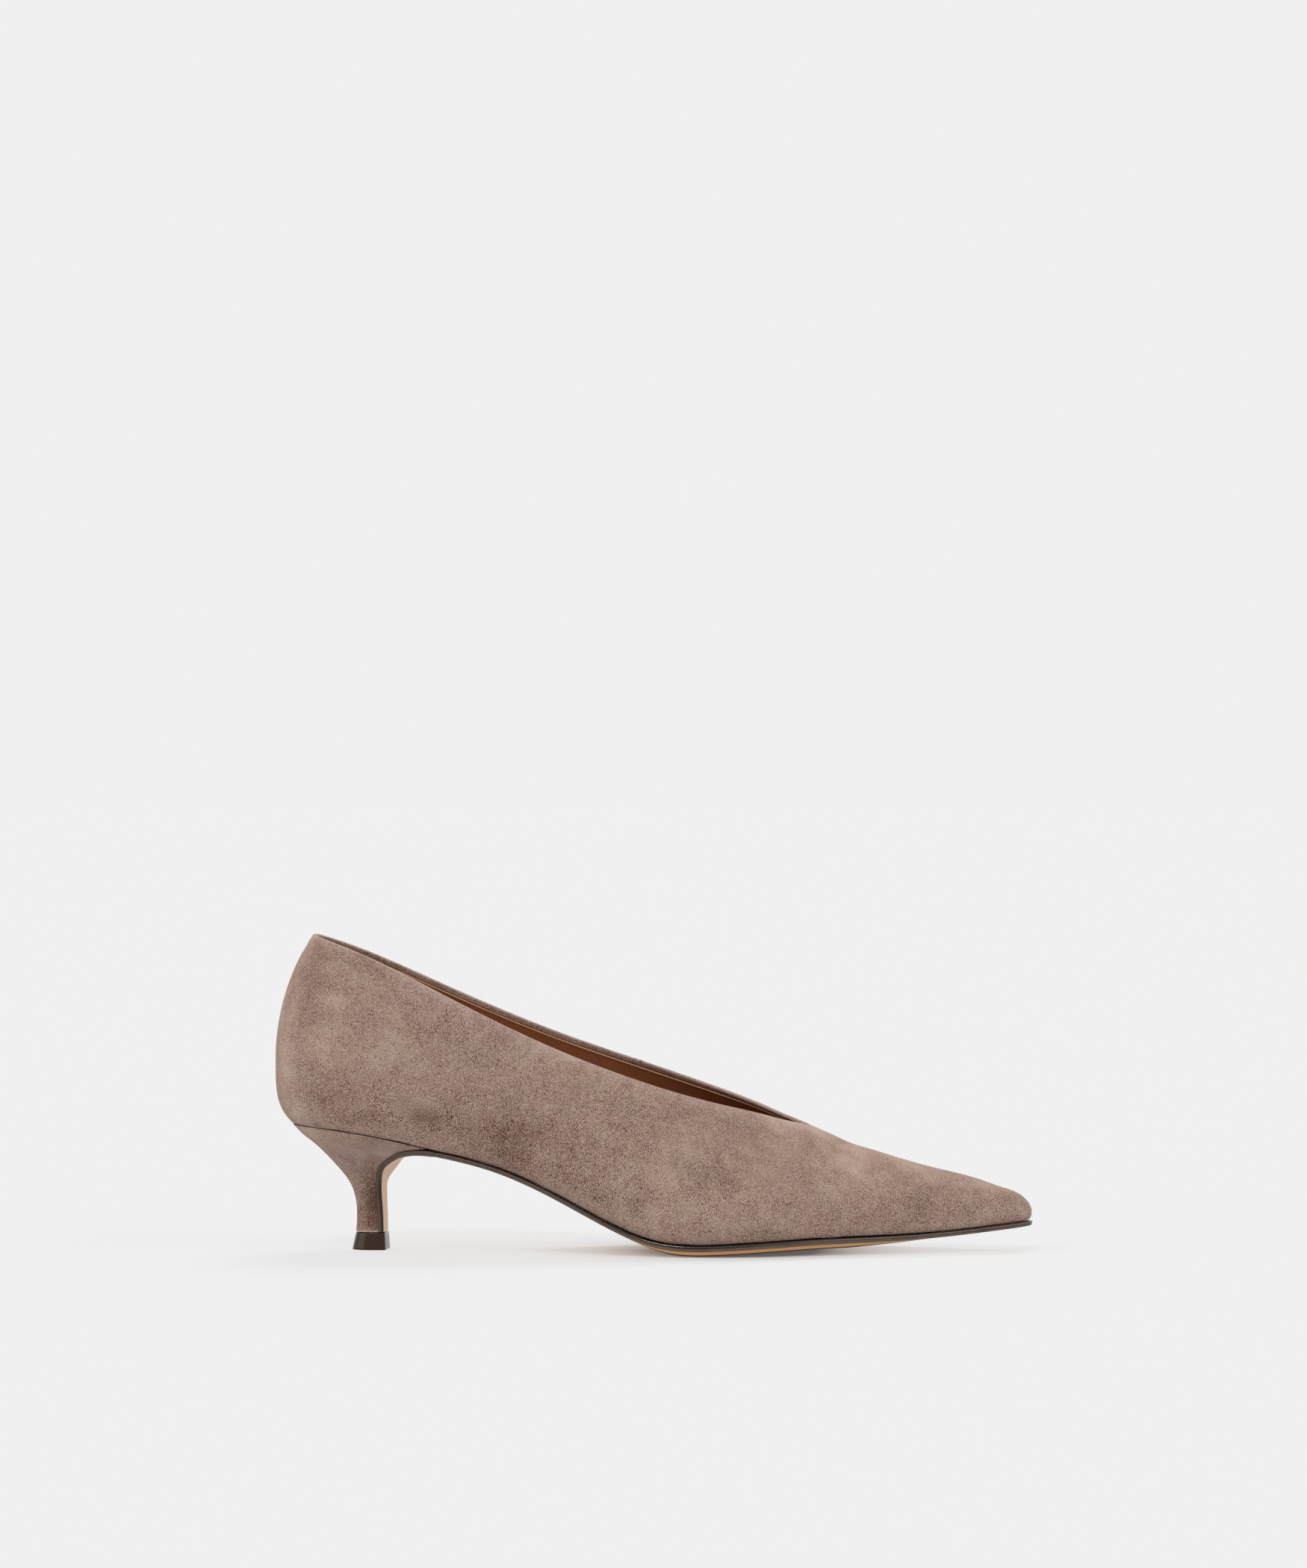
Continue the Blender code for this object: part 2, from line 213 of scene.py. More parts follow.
@dataclass
class Mesh:
    """A piece's points, faces and what its finish reads, before it becomes an object."""

    points: Array
    quads: Array
    slots: Array | None = None
    attributes: dict[str, Array] = field(default_factory=dict)

    def trimmed(self) -> Mesh:
        """The mesh without points that no face uses, and with quads whose points coincide left out."""
        key = np.round(self.points, 4)
        _, first, where = np.unique(key, axis=0, return_index=True, return_inverse=True)
        quads = first[where.reshape(-1)][self.quads]
        kept = (quads[:, 0] != quads[:, 2]) & (quads[:, 1] != quads[:, 3])
        pairs = sum((quads[:, i] == quads[:, (i + 1) % 4]).astype(int) for i in range(4))
        kept &= pairs < 2
        quads = quads[kept]
        used, packed = np.unique(quads, return_inverse=True)
        slots = None if self.slots is None else self.slots[kept]
        values = {name: value[used] for name, value in self.attributes.items()}
        return Mesh(self.points[used], packed.reshape(-1, 4), slots, values)

    def build(self, name: str, materials: Sequence[Material], sharp: float = 50.0) -> Piece:
        """Makes the object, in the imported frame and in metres.

        Args:
            name: The piece's name.
            materials: Its materials, in the order of the slots.
            sharp: Angle in degrees past which an edge stays crisp.

        Returns:
            The new object, linked to the scene.
        """
        whole = self.trimmed()
        quads = whole.quads
        doubled = np.stack([quads[:, i] == quads[:, (i + 1) % 4] for i in range(4)], axis=1)
        corners = np.where(doubled, -1, quads)
        sizes = (corners >= 0).sum(axis=1)
        mesh = bpy.data.meshes.new(name)
        mesh.vertices.add(len(whole.points))
        mesh.vertices.foreach_set("co", ((whole.points - ROW_ORIGIN) * MM).astype(np.float32).reshape(-1))
        mesh.loops.add(int(sizes.sum()))
        mesh.loops.foreach_set("vertex_index", corners[corners >= 0].astype(np.int32))
        mesh.polygons.add(len(quads))
        starts = np.concatenate([[0], np.cumsum(sizes)[:-1]])
        mesh.polygons.foreach_set("loop_start", starts.astype(np.int32))
        if whole.slots is not None:
            mesh.polygons.foreach_set("material_index", whole.slots.astype(np.int32))
        for key, value in whole.attributes.items():
            layer = mesh.attributes.new(key, "FLOAT", "POINT")
            layer.data.foreach_set("value", value.astype(np.float32))
        mesh.update(calc_edges=True)
        mesh.validate()
        mesh.shade_smooth()
        mesh.set_sharp_from_angle(angle=math.radians(sharp))
        for material in materials:
            mesh.materials.append(material)
        obj = bpy.data.objects.new(name, mesh)
        bpy.context.scene.collection.objects.link(obj)
        return obj


@dataclass
class Last:
    """The form that the shoe is drawn over. Each row of sections gives a place x, the centre and half width
    of the lower edge's outline, the height of that edge, the height of the sole's underside in the middle,
    the sole's thickness, how far the wall swells out and how high above the edge, the height and side place
    of the crest, and how full the arch over it is. Each row of toplines gives x and the height on the outer
    and the inner side. Each crest mark gives a place, a width and an amount."""

    seat_back: float = 5.9
    seat_front: float = 52.5
    throat: float = 181.0
    toe_tip: float = 255.7
    heel_round: float = 24.0
    toe_round: float = 7.0
    throat_run: float = 20.0
    throat_fade: float = 8.0
    wall: float = 1.8
    gap: float = 0.3
    tread_flat: float = 0.5
    crown_run: float = 3.0
    flank_power: float = 4.2
    flank_share: float = 0.24
    lift_power: float = 1.5
    spine_back: float = 33.5
    spine_heel_run: float = 63.5
    spine_toe: float = 12.0
    spine_toe_run: float = 24.0
    topline_passes: int = 6
    heel_ribs: float = 34.0
    throat_ribs: float = 30.0
    toe_ribs: float = 18.0
    columns: tuple[str, ...] = (
        "centre", "half", "feather", "tread", "sole", "swell", "rise", "crest", "ridge", "fullness"
    )  # fmt: skip
    sections: Table = (
        (5.9, 0.0, 24.5, 42.9, 41.2, 1.6, 5.9, 22.6, 122.8, -0.5, 1.85),
        (20.0, -0.5, 25.2, 41.8, 40.1, 1.6, 3.4, 18.5, 126.5, -0.8, 1.85),
        (35.0, -1.2, 25.6, 39.6, 37.9, 1.6, 2.2, 15.5, 130.5, -1.0, 1.85),
        (55.0, -2.2, 25.0, 35.2, 33.5, 1.6, 1.9, 13.0, 131.0, -1.0, 1.80),
        (75.0, -3.2, 23.8, 30.0, 28.3, 1.6, 2.0, 12.0, 121.0, -0.5, 1.80),
        (95.0, -4.0, 24.4, 21.5, 19.8, 1.6, 2.4, 11.5, 106.0, 0.5, 1.70),
        (115.0, -4.0, 28.4, 11.2, 9.3, 1.7, 2.6, 11.0, 90.0, 1.5, 1.62),
        (128.0, -3.3, 32.2, 6.0, 3.1, 1.9, 2.5, 10.7, 79.0, 2.0, 1.56),
        (140.0, -2.3, 35.2, 4.2, -0.6, 2.0, 2.4, 10.4, 68.8, 2.4, 1.49),
        (152.0, -1.0, 36.6, 4.3, -0.8, 2.0, 2.2, 10.0, 59.2, 2.6, 1.45),
        (166.0, 0.4, 35.8, 5.0, 0.2, 2.0, 1.9, 9.4, 50.2, 2.8, 1.40),
        (181.0, 1.3, 31.6, 5.8, 1.6, 2.0, 1.6, 8.5, 42.6, 2.8, 1.40),
        (200.0, 1.8, 24.6, 6.3, 3.2, 1.9, 1.4, 7.0, 35.0, 2.6, 1.45),
        (220.0, 1.8, 17.4, 7.0, 4.7, 1.8, 1.1, 5.6, 29.1, 2.2, 1.50),
        (238.0, 1.5, 11.2, 8.5, 6.5, 1.7, 0.9, 4.4, 24.5, 1.8, 1.55),
        (255.7, 1.2, 5.4, 10.5, 8.5, 1.7, 1.0, 3.2, 18.0, 1.2, 1.50),
    )
    toplines: Table = (
        (13.4, 107.2, 107.2),
        (30.0, 101.3, 100.8),
        (53.0, 90.2, 90.8),
        (76.0, 78.5, 80.9),
        (100.0, 67.7, 71.6),
        (123.0, 59.2, 63.8),
        (150.0, 51.2, 54.9),
        (166.0, 47.2, 49.2),
        (181.0, 42.6, 42.6),
    )
    crest_marks: Table = (
        (196.0, 5.5, -0.5),
        (224.0, 14.0, -0.3),
        (246.0, 7.0, -0.3),
    )

    def __post_init__(self) -> None:
        """Turns the tables into curves."""
        places, *columns = np.array(self.sections).T
        self.curve = {name: natural_spline(places, column) for name, column in zip(self.columns, columns)}
        plain = self.curve["crest"]

        def crest(x: Array) -> Array:
            """The table's crest, with a small bell curve added for each mark."""
            place, wide, amount = np.array(self.crest_marks).T
            return plain(x) + bell(np.asarray(x)[..., None] - place, wide) @ amount

        self.curve["crest"] = crest
        places, *heights = np.array(self.toplines).T
        self.topline = {side: natural_spline(places, height) for side, height in zip(SIDES, heights)}

    def half_width(self, x: Array) -> Array:
        """Half width of the lower edge: the table's, closed by a quarter ellipse at heel and toe."""
        heel = climb(x, self.seat_back, self.heel_round)
        toe = climb(x, self.toe_tip, -self.toe_round)
        return self.curve["half"](x) * np.sqrt((1 - (1 - heel) ** 2) * (1 - (1 - toe) ** 2))

    def stations(self, step: float) -> Array:
        """Places of the ribs along the shoe, closer together round the heel, the throat and the toe.

        Args:
            step: Spacing along the straight parts.

        Returns:
            Rising x places, of which one is the throat.
        """
        quarter = math.pi / 2
        round_heel = 1 - np.cos(np.linspace(0, quarter, round(self.heel_ribs / step)))
        heel = self.seat_back + self.heel_round * round_heel
        throat = self.throat - self.throat_run * np.linspace(1, 0, round(self.throat_ribs / step)) ** 2
        round_toe = 1 - np.sin(np.linspace(0, quarter, round(self.toe_ribs / step)))
        toe = self.toe_tip - self.toe_round * round_toe
        back = np.linspace(heel[-1], throat[0], round((throat[0] - heel[-1]) / step) + 1)
        vamp = np.linspace(throat[-1], toe[0], round((toe[0] - throat[-1]) / step) + 1)
        return np.concatenate([heel, back[1:-1], throat, vamp[1:-1], toe])

    def outline(self, x: Array, side: Side) -> tuple[Array, Array]:
        """Points of the lower edge on one side, in plan, and their outward directions: the tangent of the
        points, turned a quarter away from the middle."""
        points = np.stack([x, self.curve["centre"](x) + side * self.half_width(x)], axis=1)
        length = np.concatenate([[0], np.cumsum(np.linalg.norm(np.diff(points, axis=0), axis=1))])
        along = unit(np.gradient(points, length, axis=0))
        if x[0] <= self.seat_back:
            along[0] = 0, side
        along[-1] = 0, -side
        return points, side * np.stack([-along[:, 1], along[:, 0]], axis=1)

    def face(self, side: Side, x: Array, rows: Array, lowered: float = 0.0) -> Array:
        """The outer face on one side. From the lower edge the wall swells out along a power curve to its
        widest line; from there each rib arches over towards the spine as a superellipse, and stops where
        it meets the topline or, ahead of the throat, at the crest.

        Args:
            side: Which side.
            x: Stations of the ribs.
            rows: Shares of the way up a rib, from 0 at the lower edge to 1 at the top.
            lowered: How far below the table's topline the ribs stop; this fades out at the throat.

        Returns:
            Points, one line for each station.
        """
        curve = self.curve
        edge, outward = self.outline(x, side)
        widest = edge + outward * curve["swell"](x)[:, None]
        into_heel = np.clip(1 - (x - self.seat_back) / self.spine_heel_run, 0, 1)
        into_toe = np.clip(1 - (self.toe_tip - x) / self.spine_toe_run, 0, 1)
        spine_x = x + self.spine_back * into_heel**2 - self.spine_toe * into_toe**2
        spine = np.stack([spine_x, curve["ridge"](spine_x)], axis=1)
        low, rise, power = curve["feather"](x), curve["rise"](x), curve["fullness"](x)
        height = curve["crest"](np.minimum(x, spine_x)) - low - rise
        slope = (curve["crest"](spine_x - 1) - curve["crest"](spine_x + 1)) / 2
        fall = slope * np.maximum(widest[:, 0] - spine_x, 0)

        stop = lowered * climb(x, self.throat, -self.throat_fade)
        full = np.full(len(x), math.pi / 2)
        turn = full
        for _ in range(self.topline_passes):
            at = widest[:, 0] + (spine_x - widest[:, 0]) * (1 - np.cos(turn))
            share = np.clip((self.topline[side](at) - stop - low - rise) / height, 0, 1)
            turn = np.where(x < self.throat, np.arcsin(share ** (power / 2)), full)

        lift = climb(rows, 0, self.flank_share) ** self.lift_power
        angle = turn[:, None] * climb(rows, self.flank_share, 1 - self.flank_share)
        inward = 1 - np.cos(angle)
        flank = 1 - (1 - lift) ** self.flank_power
        plan = edge[:, None] + (widest - edge)[:, None] * flank[None, :, None]
        plan = plan + (spine - widest)[:, None] * inward[..., None]
        z = low[:, None] + rise[:, None] * lift + height[:, None] * np.sin(angle) ** (2 / power[:, None])
        z = z - fall[:, None] * (1 - inward) * inward**2
        return np.concatenate([plan, z[..., None]], axis=2)

    def crown(self, x: Array, y: Array) -> Array:
        """How far the bottom of the last hangs below its edge: level over the middle of the tread, and from
        there a parabola up to both edges."""
        feather = self.curve["feather"](x)
        slope = self.curve["feather"](x + 0.5) - self.curve["feather"](x - 0.5)
        tread = np.maximum(self.curve["tread"](x), 0)
        depth = np.maximum(feather - (self.gap + self.curve["sole"](x)) / np.sqrt(1 + slope**2) - tread, 0)
        depth = depth * climb(x, self.seat_front, self.crown_run)
        across = np.abs(y - self.curve["centre"](x)) / np.maximum(self.half_width(x), self.gap)
        bend = climb(across, self.tread_flat, 1 - self.tread_flat)
        return depth * (1 - bend**2)


@dataclass
class LoopSkin:
    """A skin round the whole last: the outer side's ribs from toe to heel, then the inner side's back to
    the toe, joined along the crest ahead of the throat."""

    points: Array
    ids: Array
    rim: Array
    x: Array

    @classmethod
    def over(cls, last: Last, x: Array, rows: Array, lowered: float) -> LoopSkin:
        """Lays the skin over the last.

        Args:
            last: The form.
            x: Stations, from heel to toe.
            rows: Shares of the way up each rib.
            lowered: How far below the topline the skin stops.

        Returns:
            The skin, its grid of point numbers and the numbers of its columns along the topline.
        """
        outer, inner = (last.face(side, x, rows, lowered) for side in SIDES)
        outer[0] = (outer[0] + inner[0]) / 2
        count, throat = len(x), int(np.argmin(np.abs(x - last.throat)))
        points = np.concatenate([outer[::-1], inner[1:-1]])
        ids = numbered(points)
        joined = np.arange(throat, count - 1)
        ids[count - 1 + joined, -1] = ids[count - 1 - joined, -1]
        rim = np.arange(count - 1 - throat, count - 1 + throat)
        place = np.concatenate([x[::-1], x[1:-1]])
        return cls(points.reshape(-1, 3), ids, rim, place)

    def normals(self) -> Array:
        """Outward direction at each point."""
        return vertex_normals(self.points, grid_quads(self.ids, wrap=True))

    def below_rim(self) -> Array:
        """Distance of each point of the grid from the rim: from the top of its own rib, or ahead of the
        throat from the throat's point."""
        grid = self.points[self.ids]
        top = np.broadcast_to(grid[self.rim[0], -1], (len(grid), 1, 3)).copy()
        top[self.rim, 0] = grid[self.rim, -1]
        return np.linalg.norm(grid - top, axis=2)

    def into_opening(self, normals: Array) -> Array:
        """Direction across the topline into the opening, at each point of the rim: the outward direction
        crossed with the run of the rim, turned to point up on the whole."""
        rim = self.points[self.ids[self.rim, -1]]
        run = unit(np.roll(rim, -1, axis=0) - np.roll(rim, 1, axis=0))
        across = unit(np.cross(normals[self.ids[self.rim, -1]], run))
        return across * np.sign(across[:, 2].sum())

    def shell(
        self, thickness: Array, inner_rows: Array, roll: int, lip: float
    ) -> tuple[Array, Array, Array]:
        """A closed wall behind the skin. The section of the wall is the skin, a half circle over the rim,
        the skin moved inward by the thickness, and a rounded lower edge.

        Args:
            thickness: The wall's thickness behind each point.
            inner_rows: Which of the skin's rows the inner face keeps.
            roll: Steps in the half circle.
            lip: How far the lower edge bulges down.

        Returns:
            Points, quads, and for each point its place in the section: 0 on the skin, rising to 1 over the
            rim, and 2 on the inner face.
        """
        normals = self.normals()
        inside = self.points - normals * thickness[:, None]
        total = len(self.points)
        top = self.ids[self.rim, -1]
        angle = np.pi * np.arange(1, roll) / roll
        across = self.into_opening(normals)
        radius = thickness[top][:, None, None] / 2
        reach = radius * np.sin(angle)[None, :, None]
        back = radius * (np.cos(angle) - 1)[None, :, None]
        rolled = self.points[top][:, None] + normals[top][:, None] * back + across[:, None] * reach
        low = (self.points[self.ids[:, 0]] + inside[self.ids[:, 0]]) / 2 - (0, 0, lip)

        rolled_ids = 2 * total + numbered(rolled)
        low_ids = 2 * total + rolled_ids.size + np.arange(len(low))
        inner_ids = self.ids[:, inner_rows[::-1]] + total
        rim_ids = np.concatenate([top[:, None], rolled_ids, top[:, None] + total], axis=1)
        foot_ids = np.stack([self.ids[:, 0] + total, low_ids, self.ids[:, 0]], axis=1)
        quads = [grid_quads(ids, wrap=True) for ids in (self.ids, rim_ids, inner_ids, foot_ids)]
        points = np.concatenate([self.points, inside, rolled.reshape(-1, 3), low])
        over = np.broadcast_to(angle / np.pi, rolled.shape[:2]).reshape(-1)
        place = np.concatenate([np.zeros(total), np.full(total, 2.0), over, np.full(len(low), 2.0)])
        return points, np.concatenate(quads), place


def loft(rings: Array) -> Array:
    """Quads of a solid through closed rings, whose first and last ring are closed by rungs between their
    two halves.

    Args:
        rings: Point numbers, one line for each ring.

    Returns:
        Four point numbers for each quad, sides first.
    """
    closed = np.concatenate([rings, rings[:, :1]], axis=1)
    sides = grid_quads(closed)
    half = rings.shape[1] // 2
    left = np.arange(half - 1)
    right = rings.shape[1] - 1 - left
    rungs = np.stack([left, left + 1, right - 1, right], axis=1)
    return np.concatenate([sides, rings[0][rungs][:, ::-1], rings[-1][rungs]])


class Board:
    """A material's nodes, with short calls for the textures that the finishes are mixed from."""

    def __init__(self, name: str) -> None:
        """Starts a material with an empty surface shader."""
        self.material = bpy.data.materials.new(name)
        self.material.use_nodes = True
        self.tree = self.material.node_tree
        self.shader = self.tree.nodes["Principled BSDF"]
        self.object_place = self.tree.nodes.new("ShaderNodeTexCoord").outputs["Object"]

    def set(self, **values: float | Colour) -> None:
        """Sets plain numbers and colours on the shader's own sockets; an underscore stands for a space."""
        for key, value in values.items():
            socket = self.shader.inputs[key.replace("_", " ")]
            socket.default_value = (*value, 1.0) if isinstance(value, tuple) else value

    def into(self, socket: str, source: Socket) -> None:
        """Links a source to one of the shader's sockets."""
        self.tree.links.new(source, self.shader.inputs[socket])

    def place(self, stretch: Vector, turn: Vector = (0.0, 0.0, 0.0)) -> Socket:
        """Object coordinates, turned and stretched along each axis."""
        node = self.tree.nodes.new("ShaderNodeMapping")
        node.inputs["Scale"].default_value = stretch
        node.inputs["Rotation"].default_value = turn
        self.tree.links.new(self.object_place, node.inputs["Vector"])
        return node.outputs["Vector"]

    def noise(
        self,
        scale: float,
        detail: float = 3.0,
        roughness: float = 0.55,
        distortion: float = 0.0,
        place: Socket | None = None,
    ) -> Socket:
        """Cloudy noise over the object's coordinates, with scale features to the metre."""
        node = self.tree.nodes.new("ShaderNodeTexNoise")
        node.inputs["Scale"].default_value = scale
        node.inputs["Detail"].default_value = detail
        node.inputs["Roughness"].default_value = roughness
        node.inputs["Distortion"].default_value = distortion
        self.tree.links.new(place or self.object_place, node.inputs["Vector"])
        return node.outputs["Fac"]

    def cells(self, scale: float, place: Socket | None = None) -> Socket:
        """Distance from the middle of the nearest grain cell."""
        node = self.tree.nodes.new("ShaderNodeTexVoronoi")
        node.inputs["Scale"].default_value = scale
        self.tree.links.new(place or self.object_place, node.inputs["Vector"])
        return node.outputs["Distance"]

    def ball(self, middle: Array, reach: float) -> Socket:
        """One in the middle of a ball, falling to nothing at its reach by the square of what is left."""
        node = self.tree.nodes.new("ShaderNodeTexGradient")
        place = self.tree.nodes.new("ShaderNodeMapping")
        node.gradient_type = "QUADRATIC_SPHERE"
        place.inputs["Scale"].default_value = (1 / reach,) * 3
        place.inputs["Location"].default_value = tuple(-middle / reach)
        self.tree.links.new(self.object_place, place.inputs["Vector"])
        self.tree.links.new(place.outputs["Vector"], node.inputs["Vector"])
        return node.outputs["Fac"]

    def attribute(self, name: str) -> Socket:
        """A number that the piece's own points carry."""
        node = self.tree.nodes.new("ShaderNodeAttribute")
        node.attribute_name = name
        return node.outputs["Fac"]

    def blend_sum(self, *terms: tuple[Socket, float, float], base: float = 0.0) -> Socket:
        """A base plus a weighted sum of (source, middle, weight): each source less its middle, times its
        weight. The constants are gathered in the first step."""
        total: Socket | float = base - sum(middle * weight for _, middle, weight in terms)
        for source, _, weight in terms:
            node = self.tree.nodes.new("ShaderNodeMath")
            node.operation = "MULTIPLY_ADD"
            self.tree.links.new(source, node.inputs[0])
            node.inputs[1].default_value = weight
            if isinstance(total, float):
                node.inputs[2].default_value = total
            else:
                self.tree.links.new(total, node.inputs[2])
            total = node.outputs[0]
        return total

    def product(self, a: Socket, b: Socket) -> Socket:
        """Two sources that vary over the surface, multiplied."""
        node = self.tree.nodes.new("ShaderNodeMath")
        node.operation = "MULTIPLY"
        self.tree.links.new(a, node.inputs[0])
        self.tree.links.new(b, node.inputs[1])
        return node.outputs[0]

    def ramp(self, source: Socket, stops: Sequence[tuple[float, Colour]]) -> Socket:
        """A colour for each value of the source, mixed between stops."""
        node = self.tree.nodes.new("ShaderNodeValToRGB")
        bar = node.color_ramp.elements
        bar.remove(bar[1])
        bar[0].position = stops[0][0]
        bar[0].color = (*stops[0][1], 1.0)
        for at, colour in stops[1:]:
            bar.new(at).color = (*colour, 1.0)
        self.tree.links.new(source, node.inputs["Fac"])
        return node.outputs["Color"]

    def mix(self, factor: Socket, a: Socket, b: Socket) -> Socket:
        """Mixes two colours by a factor that varies over the surface."""
        node = self.tree.nodes.new("ShaderNodeMix")
        node.data_type = "RGBA"
        self.tree.links.new(factor, node.inputs["Factor"])
        self.tree.links.new(a, node.inputs[6])
        self.tree.links.new(b, node.inputs[7])
        return node.outputs[2]

    def span(self, source: Socket, low: float, high: float, to_low: float, to_high: float) -> Socket:
        """The source's span from low to high, carried over to another span and held at its ends."""
        node = self.tree.nodes.new("ShaderNodeMapRange")
        node.interpolation_type = "SMOOTHSTEP"
        for key, value in zip(("From Min", "From Max", "To Min", "To Max"), (low, high, to_low, to_high)):
            node.inputs[key].default_value = value
        self.tree.links.new(source, node.inputs["Value"])
        return node.outputs["Result"]

    def bump(self, height: Socket, strength: float, depth: float) -> None:
        """Raises the surface by the height, up to depth metres."""
        node = self.tree.nodes.new("ShaderNodeBump")
        node.inputs["Strength"].default_value = strength
        node.inputs["Distance"].default_value = depth
        self.tree.links.new(height, node.inputs["Height"])
        self.into("Normal", node.outputs["Normal"])


def srgb(red: int, green: int, blue: int) -> Colour:
    """A screen colour as linear light."""
    levels = [v / 255 for v in (red, green, blue)]
    return tuple(((v + 0.055) / 1.055) ** 2.4 if v > 0.04 else v / 12.92 for v in levels)


@dataclass(frozen=True)
class Suede:
    """Brushed suede: cloudy shading where the pile lies one way or the other, streaks where a hand has
    passed over it, and a close speckle of fibres. A point attribute adds marks of tone, painted highlights
    and painted shade."""

    name: str = "taupe_suede"
    rose: Ramp = (
        (0.0, srgb(89, 61, 50)),
        (0.5, srgb(167, 132, 119)),
        (0.66, srgb(189, 157, 143)),
        (1.0, srgb(216, 190, 176)),
    )
    grey: Ramp = (
        (0.0, srgb(87, 63, 50)),
        (0.5, srgb(165, 135, 119)),
        (0.66, srgb(188, 160, 145)),
        (1.0, srgb(214, 191, 177)),
    )
    middle: float = 0.555
    depth: float = 0.00035

    def make(self) -> Material:
        """Mixes the finish: the fibres are short flecks of noise, drawn out along the way that the pile is
        laid, and stand out most where it lies dark. The point attribute's tone, painted light and shade
        included, is added to the noises."""
        board = Board(self.name)
        clouds = board.noise(26, 3, 0.5, 0.5)
        patches = board.noise(125, 2.5, 0.5, 0.7)
        brushing_and_rim_light = board.noise(300, 1, 0.5, 0.6, board.place((1.0, 1.0, 0.55), (0.0, 0.5, 0.0)))
        strands = board.noise(4600, 1.5, 0.6, 0.1, board.place((1.15, 1.0, 0.6), (0.0, -0.7, 0.0)))
        fibres = board.span(strands, 0.18, 0.66, -0.37, 0.15)
        # Point attribute: the pile's tone marks together with painted highlights and painted shade.
        nap_and_painted_light = board.attribute("nap_and_painted_light")
        shading = (clouds, 0.5, 0.25), (patches, 0.5, 0.48), (brushing_and_rim_light, 0.5, 0.15)
        lie = board.blend_sum(*shading, (nap_and_painted_light, 0.0, 1.0))
        speckle = board.product(fibres, board.span(lie, -0.2, 0.2, 3.2, 1.7))
        tone = board.blend_sum((lie, 0.0, 1.0), (speckle, 0.0, 1.0), base=self.middle)
        hue = board.span(patches, 0.38, 0.62, 0.0, 1.0)
        board.into("Base Color", board.mix(hue, board.ramp(tone, self.rose), board.ramp(tone, self.grey)))
        board.bump(board.blend_sum((fibres, 0.0, 1.2), (brushing_and_rim_light, 0.5, 0.3)), 0.5, self.depth)
        board.set(Roughness=0.95, Specular_IOR_Level=0.06, Sheen_Weight=0.2, Sheen_Roughness=0.4)
        board.set(Sheen_Tint=srgb(214, 196, 186))
        return board.material


@dataclass(frozen=True)
class LiningLeather:
    """Smooth lining leather with a fine pebbled grain. Its cut edge shows the pale core of the hide, with a
    dark line of painted shade behind it, where it meets the suede."""

    name: str = "lining_leather"
    tones: Ramp = (
        (0.15, srgb(116, 64, 38)),
        (0.85, srgb(160, 101, 64)),
    )
    core: Colour = srgb(218, 166, 124)
    # Painted shade: the dark line where the lining's edge meets the suede.
    gap_shade: Colour = srgb(30, 18, 13)

    def make(self) -> Material:
        """Mixes the finish."""
        board = Board(self.name)
        clouds = board.noise(38, 4, 0.55, 0.4)
        grain = board.cells(1500)
        pores = board.noise(1100, 3, 0.6)
        tone = board.blend_sum((clouds, 0.5, 0.825), (pores, 0.5, 0.3), (grain, 0.3, 0.12), base=MIDDLE_TONE)
        hide = board.ramp(tone, self.tones)
        # Edge attribute: the pale core of the hide over the roll, and a painted line of shade at the rim's
        # top against the suede.
        cut = board.ramp(board.attribute("edge"), ((0.5, self.core), (0.85, self.gap_shade)))
        seen = board.span(board.attribute("edge"), 0.02, 0.3, 0.0, 1.0)
        board.into("Base Color", board.mix(seen, hide, cut))
        board.into("Roughness", board.span(pores, 0.3, 0.7, 0.36, 0.5))
        board.bump(board.blend_sum((grain, 0.3, 0.6), (pores, 0.5, 0.5)), 0.3, 0.00012)
        board.set(Specular_IOR_Level=0.45)
        return board.material


@dataclass(frozen=True)
class SoleLeather:
    """Natural sole leather: tan, close fibred along the shoe, with a soft satin face. Its bevel is waxed,
    and darkens to a painted line of shade where it turns under."""

    name: str = "sole_leather"
    tones: Ramp = (
        (0.1, srgb(232, 182, 140)),
        (0.9, srgb(255, 224, 192)),
    )
    waxed: Ramp = (
        (0.1, srgb(206, 144, 92)),
        (0.9, srgb(234, 184, 130)),
    )
    # Painted shade: the dark line where the bevel turns under.
    under_shade: Ramp = (
        (0.1, srgb(52, 34, 22)),
        (0.9, srgb(78, 54, 36)),
    )

    def make(self) -> Material:
        """Mixes the finish."""
        board = Board(self.name)
        clouds = board.noise(30, 4, 0.6, 0.3)
        fibre = board.noise(420, 4, 0.65, 0.2, board.place((0.28, 1.0, 1.0)))
        pores = board.noise(2100, 2, 0.6)
        tone = board.blend_sum((clouds, 0.5, 0.725), (fibre, 0.5, 0.45), (pores, 0.5, 0.2), base=MIDDLE_TONE)
        # Attribute: one half for the waxed bevel, rising to one for the painted shade where it turns under.
        wax_and_shade = board.attribute("wax_and_shade")
        bare, turned = board.span(wax_and_shade, 0.0, 0.5, 0.0, 1.0), board.span(wax_and_shade, 0.62, 0.95, 0.0, 1.0)
        face = board.mix(bare, board.ramp(tone, self.tones), board.ramp(tone, self.waxed))
        board.into("Base Color", board.mix(turned, face, board.ramp(tone, self.under_shade)))
        board.into("Roughness", board.span(fibre, 0.3, 0.7, 0.42, 0.6))
        board.bump(board.blend_sum((fibre, 0.5, 0.6), (pores, 0.5, 0.4)), 0.25, 0.0001)
        board.set(Specular_IOR_Level=0.4)
        return board.material


